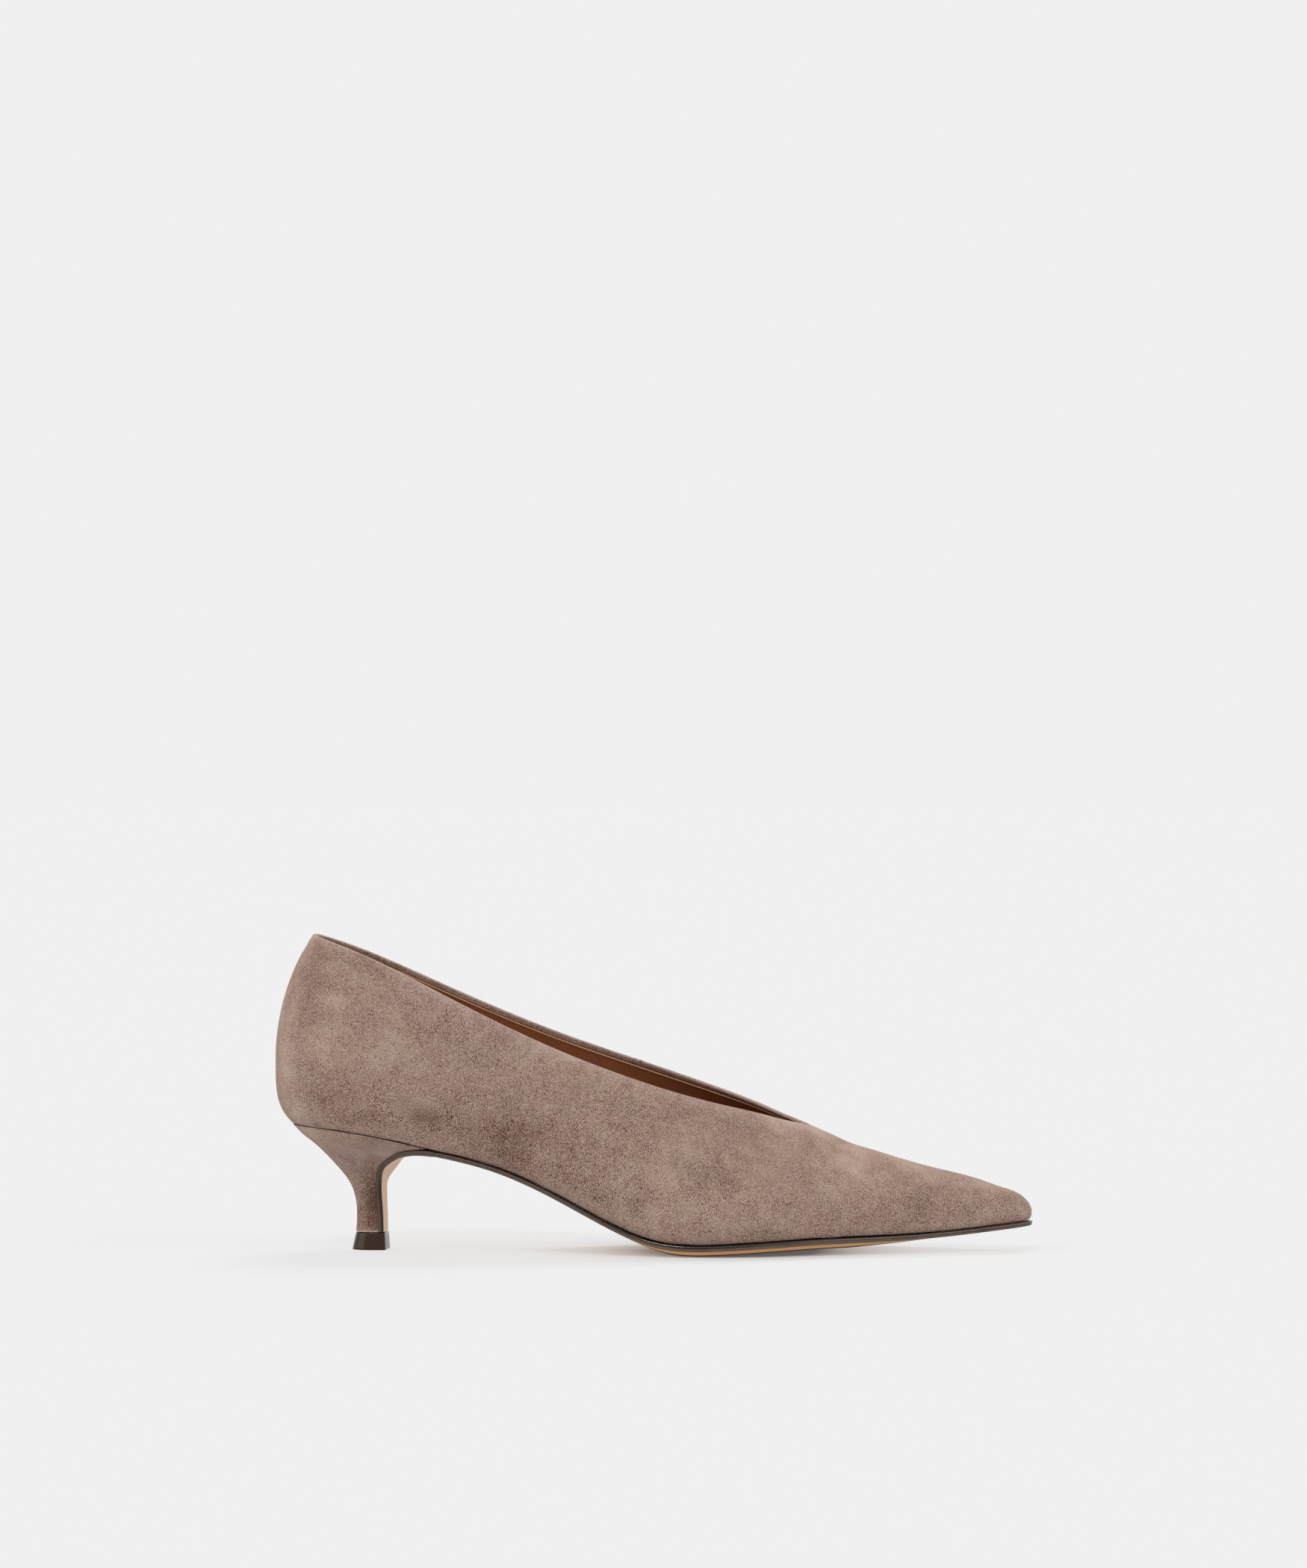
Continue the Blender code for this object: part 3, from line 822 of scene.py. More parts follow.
@dataclass(frozen=True)
class EdgePaint:
    """Paint on the cut edge of the sole: nearly black where the bead is, satin dark brown beside it, with a
    fine knurl from the edging wheel and the faint ripple of the grinding. A higher shine polishes it."""

    name: str = "edge_paint"
    shine: float = 0.25
    tones: Ramp = (
        (0.2, srgb(80, 65, 55)),
        (0.8, srgb(122, 103, 90)),
    )
    black: Ramp = (
        (0.2, srgb(18, 12, 9)),
        (0.8, srgb(36, 26, 21)),
    )

    def make(self) -> Material:
        """Mixes the finish."""
        board = Board(self.name)
        ripple = board.noise(620, 3, 0.55, 0.2, board.place((1.0, 1.0, 0.4)))
        knurl = board.noise(1500, 1, 0.5, 0.0, board.place((1.0, 0.15, 0.15)))
        wear = board.noise(90, 3, 0.6, 0.4)
        bead = board.attribute("bead")
        tone = board.blend_sum((wear, 0.5, 0.725), (ripple, 0.5, 0.35), base=MIDDLE_TONE)
        board.into("Base Color", board.mix(bead, board.ramp(tone, self.tones), board.ramp(tone, self.black)))
        satin = board.blend_sum((bead, 0.0, -0.36), (ripple, 0.5, 0.15), (wear, 0.5, 0.045), base=0.45)
        board.into("Roughness", satin)
        board.bump(board.blend_sum((ripple, 0.5, 0.4), (knurl, 0.5, 0.3)), 0.25, 0.0001)
        board.set(Specular_IOR_Level=self.shine)
        return board.material


@dataclass(frozen=True)
class PolishedLift:
    """Hard dark brown heel-tip material, polished, with faint turning marks."""

    name: str = "polished_lift"
    tones: Ramp = (
        (0.2, srgb(40, 22, 13)),
        (0.8, srgb(68, 45, 32)),
    )

    def make(self) -> Material:
        """Mixes the finish."""
        board = Board(self.name)
        marbled = board.noise(160, 3, 0.6, 0.5)
        marks = board.noise(700, 3, 0.6, 0.1, board.place((1.0, 1.0, 0.15)))
        tone = board.blend_sum((marbled, 0.5, 0.725), (marks, 0.5, 0.3), base=MIDDLE_TONE)
        board.into("Base Color", board.ramp(tone, self.tones))
        board.into("Roughness", board.span(marks, 0.3, 0.7, 0.16, 0.24))
        board.bump(marks, 0.1, 0.00006)
        board.set(Specular_IOR_Level=0.25)
        return board.material


@dataclass
class Upper:
    """The suede upper with its turned-in topline, and the leather lining behind it. Fold end, the run of the
    painted rim highlight and facing step each give a start and a run. The painted highlight along the rim is
    its amount at the heel and what is added ahead of it; the painted highlight over the roll is its amount
    where the roll starts and what is added over its middle, and the inner face carries a faint painted
    shade. Each wave sine gives a size, a length and a start. Hairs have a least and a greatest turn, length,
    width and tone, and edge root says how far in and up from the lower edge they start. Each tone mark is
    given as in bumps, by the places x and z; the outer side's marks are partly the suede's own patches and
    partly painted light and painted shade."""

    last: Last
    suede: Material
    leather: Material
    step: float = 1.15
    suede_thickness: float = 1.3
    lining_thickness: float = 0.45
    lining_step: float = 1.6
    lining_rows: tuple[int, int] = (8, 26)
    lining_overlap: float = 0.15
    lining_lip: float = 0.15
    lining_roll: int = 8
    drawn_run: float = 14.0
    drawn_power: int = 8
    facing: float = 1.45
    facing_step: Pair = (0.25, 0.4)
    recess: float = 0.4
    groove: float = -0.05
    bead: float = 0.1
    bead_width: float = 0.6
    core_share: float = 0.75
    roll_steps: int = 10
    fold_trough: float = 0.14
    fold_place: float = 4.6
    fold_width: float = 1.5
    fold_end: Pair = (85.0, -30.0)
    seam_x: float = 123.0
    seam_depth: float = 0.32
    seam_width: float = 0.4
    seam_reach: float = 1.5
    seam_clear: float = 1.9
    seam_stations: int = 17
    tuck: float = 0.14
    wave: float = 0.12
    wave_sines: Table = ((0.5, 3.1, 0.0), (0.35, 1.7, 1.0), (0.3, 6.7, 2.0))
    wave_shift: float = 3.0
    flank_rows: int = 14
    arch_rows: int = 50
    arch_end: float = 0.97
    top_shares: tuple[float, ...] = (0.976, 0.983, 0.989, 0.993, 0.9965, 1.0)
    inner_rows: tuple[int, int] = (12, 8)
    nap_blend: float = 1.5
    rim_hairs: int = 9000
    edge_hairs: int = 6500
    seed: int = 11
    rim_hair_turn: Pair = (-0.15, math.pi)
    rim_hair_length: Pair = (0.1, 0.38)
    edge_hair_length: Pair = (0.1, 0.34)
    hair_width: Pair = (0.025, 0.045)
    hair_nap: Pair = (-0.15, 0.12)
    hair_tilt: float = 0.45
    hair_root: float = 0.04
    edge_root: Pair = (0.08, 0.1)
    edge_hang: float = 0.5
    spike_angles: Vector = (0.0, 2.0944, 4.1888)
    # Painted highlight along the topline: its amount at the heel and what is added ahead of it.
    rim_highlight: Pair = (0.09, 0.03)
    rim_highlight_run: Pair = (40.0, 30.0)
    rim_highlight_width: float = 2.6
    seam_nap: float = 0.45
    seam_nap_width: float = 0.3
    # Painted highlight on faces that turn up and away from the sides.
    upturn_highlight: float = 0.1
    turned_from: float = 0.72
    turned_power: float = 1.5
    # Faint painted shade on the inner face, then the painted highlight over the roll: where it starts and
    # what is added over its middle.
    inside_shade: float = -0.03
    roll_highlight: Pair = (0.18, 0.26)
    # Outer marks: partly the suede's own patches, partly painted light and painted shade: light along the
    # heel's back edge, its lower back and the crest, dark low along the sole and broadly over the middle of
    # the side.
    outer_nap_and_light: Table = (
        (23.5, 85.2, 6.5, 2.3, -8.0, 0.21),
        (14.0, 90.0, 4.5, 13.0, 0.0, -0.13),
        (15.0, 104.0, 3.0, 2.4, 0.0, -0.07),
        (37.0, 94.5, 14.0, 2.4, -24.0, -0.12),
        (26.0, 90.0, 4.0, 2.0, 0.0, -0.08),
        (15.5, 71.0, 4.2, 3.0, 20.0, 0.17),
        (20.0, 65.0, 3.0, 2.4, 0.0, 0.08),
        (28.0, 74.5, 6.5, 2.2, 8.0, 0.11),
        (42.0, 78.0, 3.0, 7.0, -10.0, 0.08),
        (29.0, 67.0, 12.0, 6.0, -4.0, 0.18),
        (44.0, 70.0, 9.0, 4.0, -15.0, 0.06),
        (13.0, 57.0, 3.0, 6.0, 15.0, -0.12),
        (19.0, 51.5, 8.0, 3.5, -5.0, -0.15),
        (4.8, 62.0, 2.6, 14.0, 0.0, 0.19),
        (8.0, 47.5, 4.5, 3.5, -40.0, 0.22),
        (33.0, 46.0, 5.5, 2.4, -5.0, -0.22),
        (40.0, 52.0, 8.0, 3.0, -8.0, -0.06),
        (92.0, 39.0, 32.0, 11.0, -22.0, -0.06),
        (54.5, 46.0, 6.5, 3.4, -4.0, -0.42),
        (44.0, 42.0, 5.0, 4.0, 0.0, -0.08),
        (66.5, 41.0, 6.0, 3.6, -12.0, -0.19),
        (76.5, 35.0, 6.0, 2.6, -20.0, -0.17),
        (64.0, 48.0, 6.0, 3.0, -10.0, -0.08),
        (55.5, 57.5, 9.0, 3.6, 5.0, 0.11),
        (67.0, 67.0, 7.0, 4.6, -15.0, -0.11),
        (80.0, 38.5, 7.0, 6.5, -20.0, -0.27),
        (75.0, 43.0, 6.0, 3.0, 0.0, -0.08),
        (89.5, 41.5, 5.0, 3.0, -10.0, -0.14),
        (86.0, 33.0, 2.8, 4.5, 0.0, -0.14),
        (76.0, 58.5, 4.5, 2.6, 10.0, 0.16),
        (97.0, 68.0, 9.0, 2.2, -21.0, 0.10),
        (93.0, 35.0, 5.0, 5.0, 0.0, 0.06),
        (98.0, 27.5, 8.0, 2.6, -32.0, -0.11),
        (110.5, 21.0, 5.5, 2.8, -30.0, -0.20),
        (107.0, 42.0, 5.0, 5.0, 0.0, 0.06),
        (121.0, 48.5, 5.5, 4.4, -10.0, -0.16),
        (124.0, 17.5, 2.6, 3.4, 0.0, -0.15),
        (134.0, 27.0, 6.0, 4.0, 0.0, 0.07),
        (130.0, 14.0, 5.0, 3.0, -20.0, 0.09),
        (131.0, 42.5, 3.5, 3.0, 0.0, -0.15),
        (146.0, 28.3, 7.0, 3.4, -8.0, -0.25),
        (137.5, 33.5, 3.4, 2.6, -10.0, -0.14),
        (154.0, 25.5, 5.5, 2.8, 8.0, -0.11),
        (141.0, 36.0, 5.0, 4.0, 0.0, 0.07),
        (157.5, 44.2, 7.0, 3.0, -10.0, -0.21),
        (140.5, 48.5, 4.0, 3.0, -10.0, -0.10),
        (153.0, 10.0, 8.0, 5.5, 10.0, 0.05),
        (172.0, 42.5, 7.0, 3.0, -15.0, 0.08),
        (165.0, 8.2, 6.0, 2.6, 4.0, -0.26),
        (189.5, 15.0, 5.0, 4.4, 0.0, -0.13),
        (182.0, 36.5, 2.8, 4.0, -20.0, -0.11),
        (174.0, 18.0, 7.0, 4.5, -10.0, -0.07),
        (196.0, 30.0, 7.0, 3.4, -12.0, 0.18),
        (184.0, 40.8, 6.0, 2.2, -25.0, 0.18),
        (212.0, 30.8, 6.0, 2.0, -17.0, 0.14),
        (182.0, 14.5, 3.5, 2.2, 0.0, 0.10),
        (197.0, 23.5, 3.8, 4.5, 0.0, 0.14),
        (203.5, 26.5, 2.6, 2.4, 0.0, -0.07),
        (217.0, 17.5, 4.5, 4.5, -25.0, -0.20),
        (219.8, 13.2, 3.2, 3.0, -20.0, -0.15),
        (231.0, 21.5, 8.0, 3.0, -12.0, 0.05),
        (236.0, 15.0, 4.5, 2.6, -5.0, -0.15),
        (249.0, 17.8, 3.6, 2.4, -20.0, -0.15),
        (254.5, 12.5, 2.2, 2.6, 0.0, 0.24),
        (240.0, 13.5, 4.5, 1.8, 5.0, 0.06),
        (153.0, 36.0, 3.6, 5.0, 0.0, -0.10),
        (86.0, 61.5, 4.5, 3.0, 0.0, 0.11),
        (166.5, 27.5, 4.2, 2.6, 0.0, 0.10),
        (25.0, 99.3, 5.0, 2.2, -15.0, -0.10),
        (43.0, 86.5, 4.0, 3.0, 0.0, 0.08),
        (82.0, 54.0, 5.0, 3.0, 0.0, -0.10),
        (38.0, 99.2, 12.0, 1.4, -24.0, 0.12),
        (99.0, 20.0, 18.0, 1.8, -26.0, 0.10),
    )
    inner_nap: Table = (
        (24.0, 78.0, 10.0, 4.0, -8.0, 0.12),
        (14.0, 62.0, 4.0, 10.0, 0.0, -0.08),
        (48.0, 58.0, 16.0, 6.0, -12.0, -0.11),
        (38.0, 48.0, 7.0, 3.0, -5.0, 0.09),
        (70.0, 66.0, 14.0, 4.0, -18.0, 0.10),
        (62.0, 44.0, 8.0, 4.0, -10.0, -0.13),
        (88.0, 40.0, 12.0, 6.0, -20.0, -0.14),
        (112.0, 30.0, 12.0, 5.0, -24.0, 0.13),
        (128.0, 42.0, 9.0, 5.0, -20.0, -0.08),
        (150.0, 26.0, 14.0, 5.0, -12.0, 0.09),
        (176.0, 18.0, 10.0, 4.0, -6.0, -0.13),
        (190.0, 30.0, 6.0, 3.5, -20.0, 0.10),
        (206.0, 20.0, 9.0, 4.0, -14.0, 0.12),
        (228.0, 17.0, 6.0, 3.0, -10.0, -0.13),
        (243.0, 15.0, 5.0, 3.0, 0.0, 0.08),
    )

    def rows(self, flank: int, arch: int) -> Array:
        """Shares of the way up a rib, with flank rows below the widest line and arch rows above it, and a
        few more close below the top."""
        share = self.last.flank_share
        below = np.arange(flank) / flank * share
        return np.concatenate([below, np.linspace(share, self.arch_end, arch), self.top_shares])

    def nap_and_painted_light(self, points: Array) -> Array:
        """How light the tone lies at each point, from the pile and from painted light and shade: the marks
        of the side that the point is on, which fade out across the middle of the shoe."""
        past = points[:, 1] - self.last.curve["ridge"](points[:, 0])
        over = 1 / (1 + np.exp(-past / self.nap_blend))
        outer = bumps(points[:, 0], points[:, 2], self.outer_nap_and_light)
        inner = bumps(points[:, 0], points[:, 2], self.inner_nap)
        return outer * (1 - over) + inner * over

    def suede_skin(self) -> tuple[LoopSkin, Array]:
        """The suede's outer face, and the tone that its pile and the painted light give it. Soft reliefs are
        bell curves of a distance: a trough where the turned-in edge ends, below the topline near the heel,
        and the closed seam down the inner side. The lower edge is tucked in, and wavers as three sines of
        the place along it. A painted highlight lies along the topline, by a bell curve of the distance below
        it, and where the face turns up and away from the sides, by a power of how far it does. In the seam
        the tone is dark."""
        last = self.last
        x = last.stations(self.step)
        seam = self.seam_x + np.linspace(-self.seam_reach, self.seam_reach, self.seam_stations)
        x = np.sort(np.concatenate([x[np.abs(x - self.seam_x) > self.seam_clear], seam]))
        rows = self.rows(self.flank_rows, self.arch_rows)
        skin = LoopSkin.over(last, x, rows, self.suede_thickness / 2)
        normals = skin.normals()
        below = skin.below_rim()
        inner_side = np.arange(len(skin.ids)) >= len(x)
        beside = np.where(inner_side, np.abs(skin.x - self.seam_x), np.inf)[:, None]
        relief = self.fold_trough * bell(below - self.fold_place, self.fold_width)
        relief = relief * climb(skin.x, *self.fold_end)[:, None]
        relief = relief + self.seam_depth * bell(beside, self.seam_width)
        relief[:, 0] += self.tuck
        depth, nap_and_painted_light = np.zeros(len(skin.points)), np.zeros(len(skin.points))
        depth[skin.ids] = relief
        # Painted highlight along the topline, a bell curve of the distance below the rim.
        heel, ahead = self.rim_highlight
        brushing_and_rim_light = heel + ahead * climb(skin.x, *self.rim_highlight_run)
        light = brushing_and_rim_light[:, None] * bell(below, self.rim_highlight_width)
        nap_and_painted_light[skin.ids] = light - self.seam_nap * bell(beside, self.seam_nap_width)
        # Painted highlight where the face turns upward, standing in for light from above.
        upward = np.clip(normals[:, 2] * 2 + 1, 0, 1)
        turned = climb(np.abs(normals[:, 1]), self.turned_from, -self.turned_from) * upward
        nap_and_painted_light += self.upturn_highlight * turned**self.turned_power
        skin.points = skin.points - normals * depth[:, None]
        place = skin.x + self.wave_shift * inner_side
        waver = sum(size * np.sin(place / length + start) for size, length, start in self.wave_sines)
        skin.points[skin.ids[:, 0], 2] += self.wave * waver
        return skin, nap_and_painted_light + self.nap_and_painted_light(skin.points)

    def build_suede(self) -> list[Piece]:
        """The suede: a wall whose rim is rolled over. Behind the rim the turned-in edge is as thick as the
        roll, and ends in a step to the thinner wall that the lining lies on. Short hairs stand up along the
        roll and hang over the lower edge. Over the roll the tone is mixed from a painted highlight where it
        starts to the faint painted shade of the inner face, with a painted highlight of half a sine wave
        added."""
        skin, nap_and_painted_light = self.suede_skin()
        before, run = self.facing_step
        step = climb(skin.below_rim(), self.facing - before, run)
        thickness = np.zeros(len(skin.points))
        thickness[skin.ids] = self.suede_thickness - self.recess * eased_step(step)
        count = skin.ids.shape[1]
        spread, near_top = self.inner_rows
        kept = np.union1d(np.linspace(0, count - 1, spread).astype(int), np.arange(count - near_top, count))
        points, quads, place = skin.shell(thickness, kept, self.roll_steps, 0.0)
        marks = np.full(len(points), self.inside_shade)
        marks[: len(nap_and_painted_light)] = nap_and_painted_light
        # Over the roll: a painted highlight at its start and over its middle, mixed into the inner face's
        # painted shade.
        start, swell = self.roll_highlight
        rolled = start * (1 - place) + self.inside_shade * place + swell * np.sin(math.pi * place)
        marks = np.where((place > 0) & (place < 1), rolled, marks)
        suede = Mesh(points, quads, attributes={"nap_and_painted_light": marks}).build("suede_upper", [self.suede])
        return [suede, self.fringe(skin)]

    def fringe(self, skin: LoopSkin) -> Piece:
        """Stray fibres: slim three-sided spikes, strewn evenly along the rolled rim and the lower edge. On
        the rim each leans out from the roll's middle, on the lower edge it hangs down and out, both with a
        random tilt."""

        def between(values: Array, at: Array) -> Array:
            """A line of values read between its own places, by a straight mix."""
            i, f = at.astype(int), (at % 1)[:, None]
            return values[i] * (1 - f) + values[i + 1] * f

        rng = np.random.default_rng(self.seed)
        normals = skin.normals()
        top, low = skin.ids[skin.rim, -1], skin.ids[:, 0]
        at = rng.uniform(0, len(top) - 1.001, self.rim_hairs)
        out = unit(between(normals[top], at))
        into = unit(between(skin.into_opening(normals), at))
        turn = rng.uniform(*self.rim_hair_turn, self.rim_hairs)[:, None]
        lean = out * np.cos(turn) + into * np.sin(turn)
        half = self.suede_thickness / 2
        rim = between(skin.points[top], at) - out * half + lean * (half - self.hair_root)
        at = rng.uniform(0, len(low) - 1.001, self.edge_hairs)
        facing, (inset, lift) = normals[low[at.astype(int)]], self.edge_root
        edge = between(skin.points[low], at) - facing * inset + (0, 0, lift)
        hang = unit(facing * self.edge_hang - (0, 0, 1))
        base, along = np.concatenate([rim, edge]), np.concatenate([lean, hang])
        along = unit(along + rng.normal(0, self.hair_tilt, along.shape))
        lengths = (self.rim_hair_length, self.rim_hairs), (self.edge_hair_length, self.edge_hairs)
        length = np.concatenate([rng.uniform(*ends, count) for ends, count in lengths])[:, None]
        side = unit(np.cross(along, rng.normal(size=along.shape)))
        other = np.cross(along, side)
        ring = [side * math.cos(t) + other * math.sin(t) for t in self.spike_angles]
        width = rng.uniform(*self.hair_width, (len(base), 1))
        points = np.stack([base + way * width for way in ring] + [base + along * length], axis=1)
        corner = 4 * np.arange(len(base))[:, None]
        faces = np.array([(0, 1, 3, 3), (1, 2, 3, 3), (2, 0, 3, 3), (0, 2, 1, 1)])
        quads = (corner[:, None] + faces[None]).reshape(-1, 4)
        nap_and_painted_light = np.repeat(rng.uniform(*self.hair_nap, len(base)), 4)
        return Mesh(points.reshape(-1, 3), quads, attributes={"nap_and_painted_light": nap_and_painted_light}).build("nap_fringe", [self.suede])

    def build_lining(self) -> Piece:
        """The lining: the last's face behind the suede, with its upper edge drawn back from the topline by
        the facing's width and the groove. Near the top each rib is moved along the surface, away from the
        opening, by a high power of its share of the way up; ahead of the throat that move runs along the
        crest and fades out. The rim swells to a rounded bead as a bell curve of the distance below it."""
        last = self.last
        rows = self.rows(*self.lining_rows)
        skin = LoopSkin.over(last, last.stations(self.lining_step), rows, self.suede_thickness / 2)
        normals = skin.normals()
        crest = last.curve["crest"]
        slope = (crest(skin.x + 0.5) - crest(skin.x - 0.5))[:, None]
        ahead = unit(slope * (0, 0, 1) + (1, 0, 0))
        away = ahead * np.clip(1 - (skin.x - last.throat) / self.drawn_run, 0, 1)[:, None] ** 2
        away[skin.rim] = -skin.into_opening(normals)
        drawn = self.facing + self.groove + (self.lining_thickness + self.bead) / 2
        shift = away[:, None] * (drawn * rows[None, :, None] ** self.drawn_power)
        moved = skin.points.copy()
        moved[skin.ids] = skin.points[skin.ids] + shift
        skin.points = moved - normals * (self.suede_thickness - self.lining_overlap)
        thickness = np.zeros(len(skin.points))
        thickness[skin.ids] = self.lining_thickness + self.bead * bell(skin.below_rim(), self.bead_width)
        points, quads, place = skin.shell(thickness, np.arange(len(rows)), self.lining_roll, self.lining_lip)
        # Edge: one at the rim's top for the painted line of shade against the suede, falling over the roll
        # towards the pale core.
        edge = np.where((place > 0) & (place < 1), 1 - self.core_share * place, 0.0)
        edge[skin.ids[skin.rim, -1]] = 1.0
        mesh = Mesh(points, quads, attributes={"edge": edge})
        return mesh.build("lining", [self.leather])

    def build(self) -> list[Piece]:
        """Builds the suede in place of the CAD upper, its stray fibres, and the lining."""
        (suede, fringe), lining = self.build_suede(), self.build_lining()
        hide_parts("upper")
        return [suede, fringe, lining]


@dataclass
class Sock:
    """The insole with its leather sock, which lies inside the lining."""

    last: Last
    leather: Material
    thickness: float = 2.2
    clearance: float = -0.2
    across: int = 25
    step: float = 2.0
    rim_power: int = 4

    def build(self) -> list[Piece]:
        """Carries a flat section with rounded edges along the last's bottom: its underside follows the
        crown, its face lies one thickness higher, and both close at the rim by a power of the place
        across."""
        last = self.last
        x = last.stations(self.step)
        edges = []
        for side in SIDES:
            edge, outward = last.outline(x, side)
            edges.append(edge - outward * (last.wall + self.clearance))
        outer, inner = edges
        shares = (1 - np.cos(np.linspace(0, math.pi, self.across))) / 2
        plan = outer[:, None] + (inner - outer)[:, None] * shares[None, :, None]
        under = last.curve["feather"](plan[..., 0]) - last.crown(plan[..., 0], plan[..., 1])
        dome = (1 - (1 - 4 * shares * (1 - shares)) ** self.rim_power) ** (1 / self.rim_power)
        low = under + self.thickness / 2 * (1 - dome)
        high = under + self.thickness / 2 * (1 + dome)
        top = np.concatenate([plan, high[..., None]], axis=2)
        bottom = np.concatenate([plan, low[..., None]], axis=2)
        rings = np.concatenate([top, bottom[:, ::-1]], axis=1)
        ids = numbered(rings)
        points = rings.reshape(-1, 3)
        mesh = Mesh(points, loft(ids), attributes={"edge": np.zeros(len(points))})
        sock = mesh.build("sock_lining", [self.leather])
        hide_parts("insole")
        return [sock]


@dataclass
class HeelForm:
    """The covered heel's levels below its seat, each a D from a round back to a flat front: the place and
    height of its back and of its front, its half width, and the share of its depth that the round back
    takes."""

    last: Last
    turn: float = math.radians(3.5)
    sweep: float = 1.8
    sweep_half: float = 12.0
    sweep_width: float = 2.2
    levels: Table = (
        (9.5, 39.4, 47.8, 34.6, 22.6, 0.55),
        (13.0, 36.6, 43.9, 33.6, 19.4, 0.58),
        (16.9, 32.9, 40.2, 31.6, 15.2, 0.60),
        (21.2, 28.3, 36.8, 28.6, 11.2, 0.64),
        (24.7, 23.9, 35.5, 24.2, 8.5, 0.68),
        (26.9, 19.2, 35.2, 19.2, 6.8, 0.72),
        (27.8, 13.0, 35.5, 13.0, 5.8, 0.75),
        (27.5, 6.1, 35.7, 6.1, 5.7, 0.75),
    )
    side_points: int = 40
    ring_count: int = 64

    def shares(self) -> Array:
        """Shares of a level's depth, closer together at its back."""
        return 1 - np.cos(np.linspace(0, math.pi / 2, self.side_points))

    def level_curve(self, level: tuple[float, ...]) -> Array:
        """Both sides of a D: its half width times a quarter ellipse over its round back, then level, and
        sheared so that its front faces a little to the outer side. Where the front bends under the seat, as
        a bell curve of the half width, its inner side sweeps further forward."""
        back_x, back_z, front_x, front_z, half, rounded = level
        share = self.shares()
        width = half * np.sqrt(1 - (1 - np.clip(share / rounded, 0, 1)) ** 2)
        x = back_x + (front_x - back_x) * share
        z = back_z + (front_z - back_z) * share
        middle = self.last.curve["centre"]((back_x + front_x) / 2)
        lean = math.tan(self.turn) * width
        sweep = self.sweep * bell(half - self.sweep_half, self.sweep_width) * share**3
        places = ((x - lean, middle - width, z), (x + lean + sweep, middle + width, z))
        return np.stack([np.stack(place, axis=1) for place in places])

    def seat_curve(self) -> Array:
        """The upper rim, a gap below the upper's lower edge."""
        last = self.last
        x = last.seat_back + (last.seat_front - last.seat_back) * self.shares()
        z = last.curve["feather"](x) - last.gap
        middle, half = last.curve["centre"](x), last.half_width(x)
        return np.stack([np.stack([x, middle + side * half, z], axis=1) for side in SIDES])

    def rings(self) -> Array:
        """The levels from seat to foot as (ring, side, point, place), with a natural cubic between rows."""
        curves = np.stack([self.seat_curve(), *(self.level_curve(level) for level in self.levels)])
        return natural_spline(range(len(curves)), curves)(np.linspace(0, len(curves) - 1, self.ring_count))


@dataclass
class HeelCover:
    """The suede drawn over the heel."""

    form: HeelForm
    suede: Material
    tuck: float = 0.2
    tuck_round: Pair = (0.07, 0.09)
    foot_nap: float = 0.3
    # Partly the suede's own tone, partly painted light and shade: dark marks down the heel's neck, under the
    # overhang of the shoe, and light ones over the cover's top.
    nap_and_light_marks: Table = (
        (17.0, 37.0, 9.0, 3.0, -25.0, 0.07),
        (11.0, 42.5, 6.0, 2.6, -40.0, 0.12),
        (30.0, 35.5, 12.0, 5.0, -14.0, 0.17),
        (39.5, 31.8, 5.5, 3.2, -10.0, 0.24),
        (32.5, 19.0, 3.0, 6.0, 0.0, -0.16),
        (35.0, 14.0, 4.5, 14.0, 0.0, -0.43),
        (31.0, 10.0, 7.0, 12.0, 0.0, -0.12),
        (31.0, 15.0, 1.6, 9.0, 0.0, 0.08),
    )

    def build(self) -> list[Piece]:
        """Lofts the heel's rings, with a narrow rounded tuck at its top edge where it meets the upper."""
        rings = self.form.rings()
        middle = rings.mean(axis=(1, 2), keepdims=True)
        inward, (inset, drop) = unit((middle[:1] - rings[:1]) * (1, 1, 0)), self.tuck_round
        rounded = rings[:1] + inward * inset - (0, 0, drop)
        rings = np.concatenate([rings[:1] + inward * self.tuck, rounded, rings[1:]])
        loops = np.concatenate([rings[:, 0, ::-1], rings[:, 1]], axis=1)
        ids = numbered(loops)
        points = loops.reshape(-1, 3)
        # Painted shade on the neck and painted light on the cover's top, from the marks above.
        nap_and_painted_light = bumps(points[:, 0], points[:, 2], self.nap_and_light_marks)
        nap_and_painted_light[ids[-1]] = self.foot_nap
        mesh = Mesh(points, loft(ids)[:, ::-1], attributes={"nap_and_painted_light": nap_and_painted_light})
        cover = mesh.build("heel_cover", [self.suede], sharp=40)
        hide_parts("heel")
        return [cover]


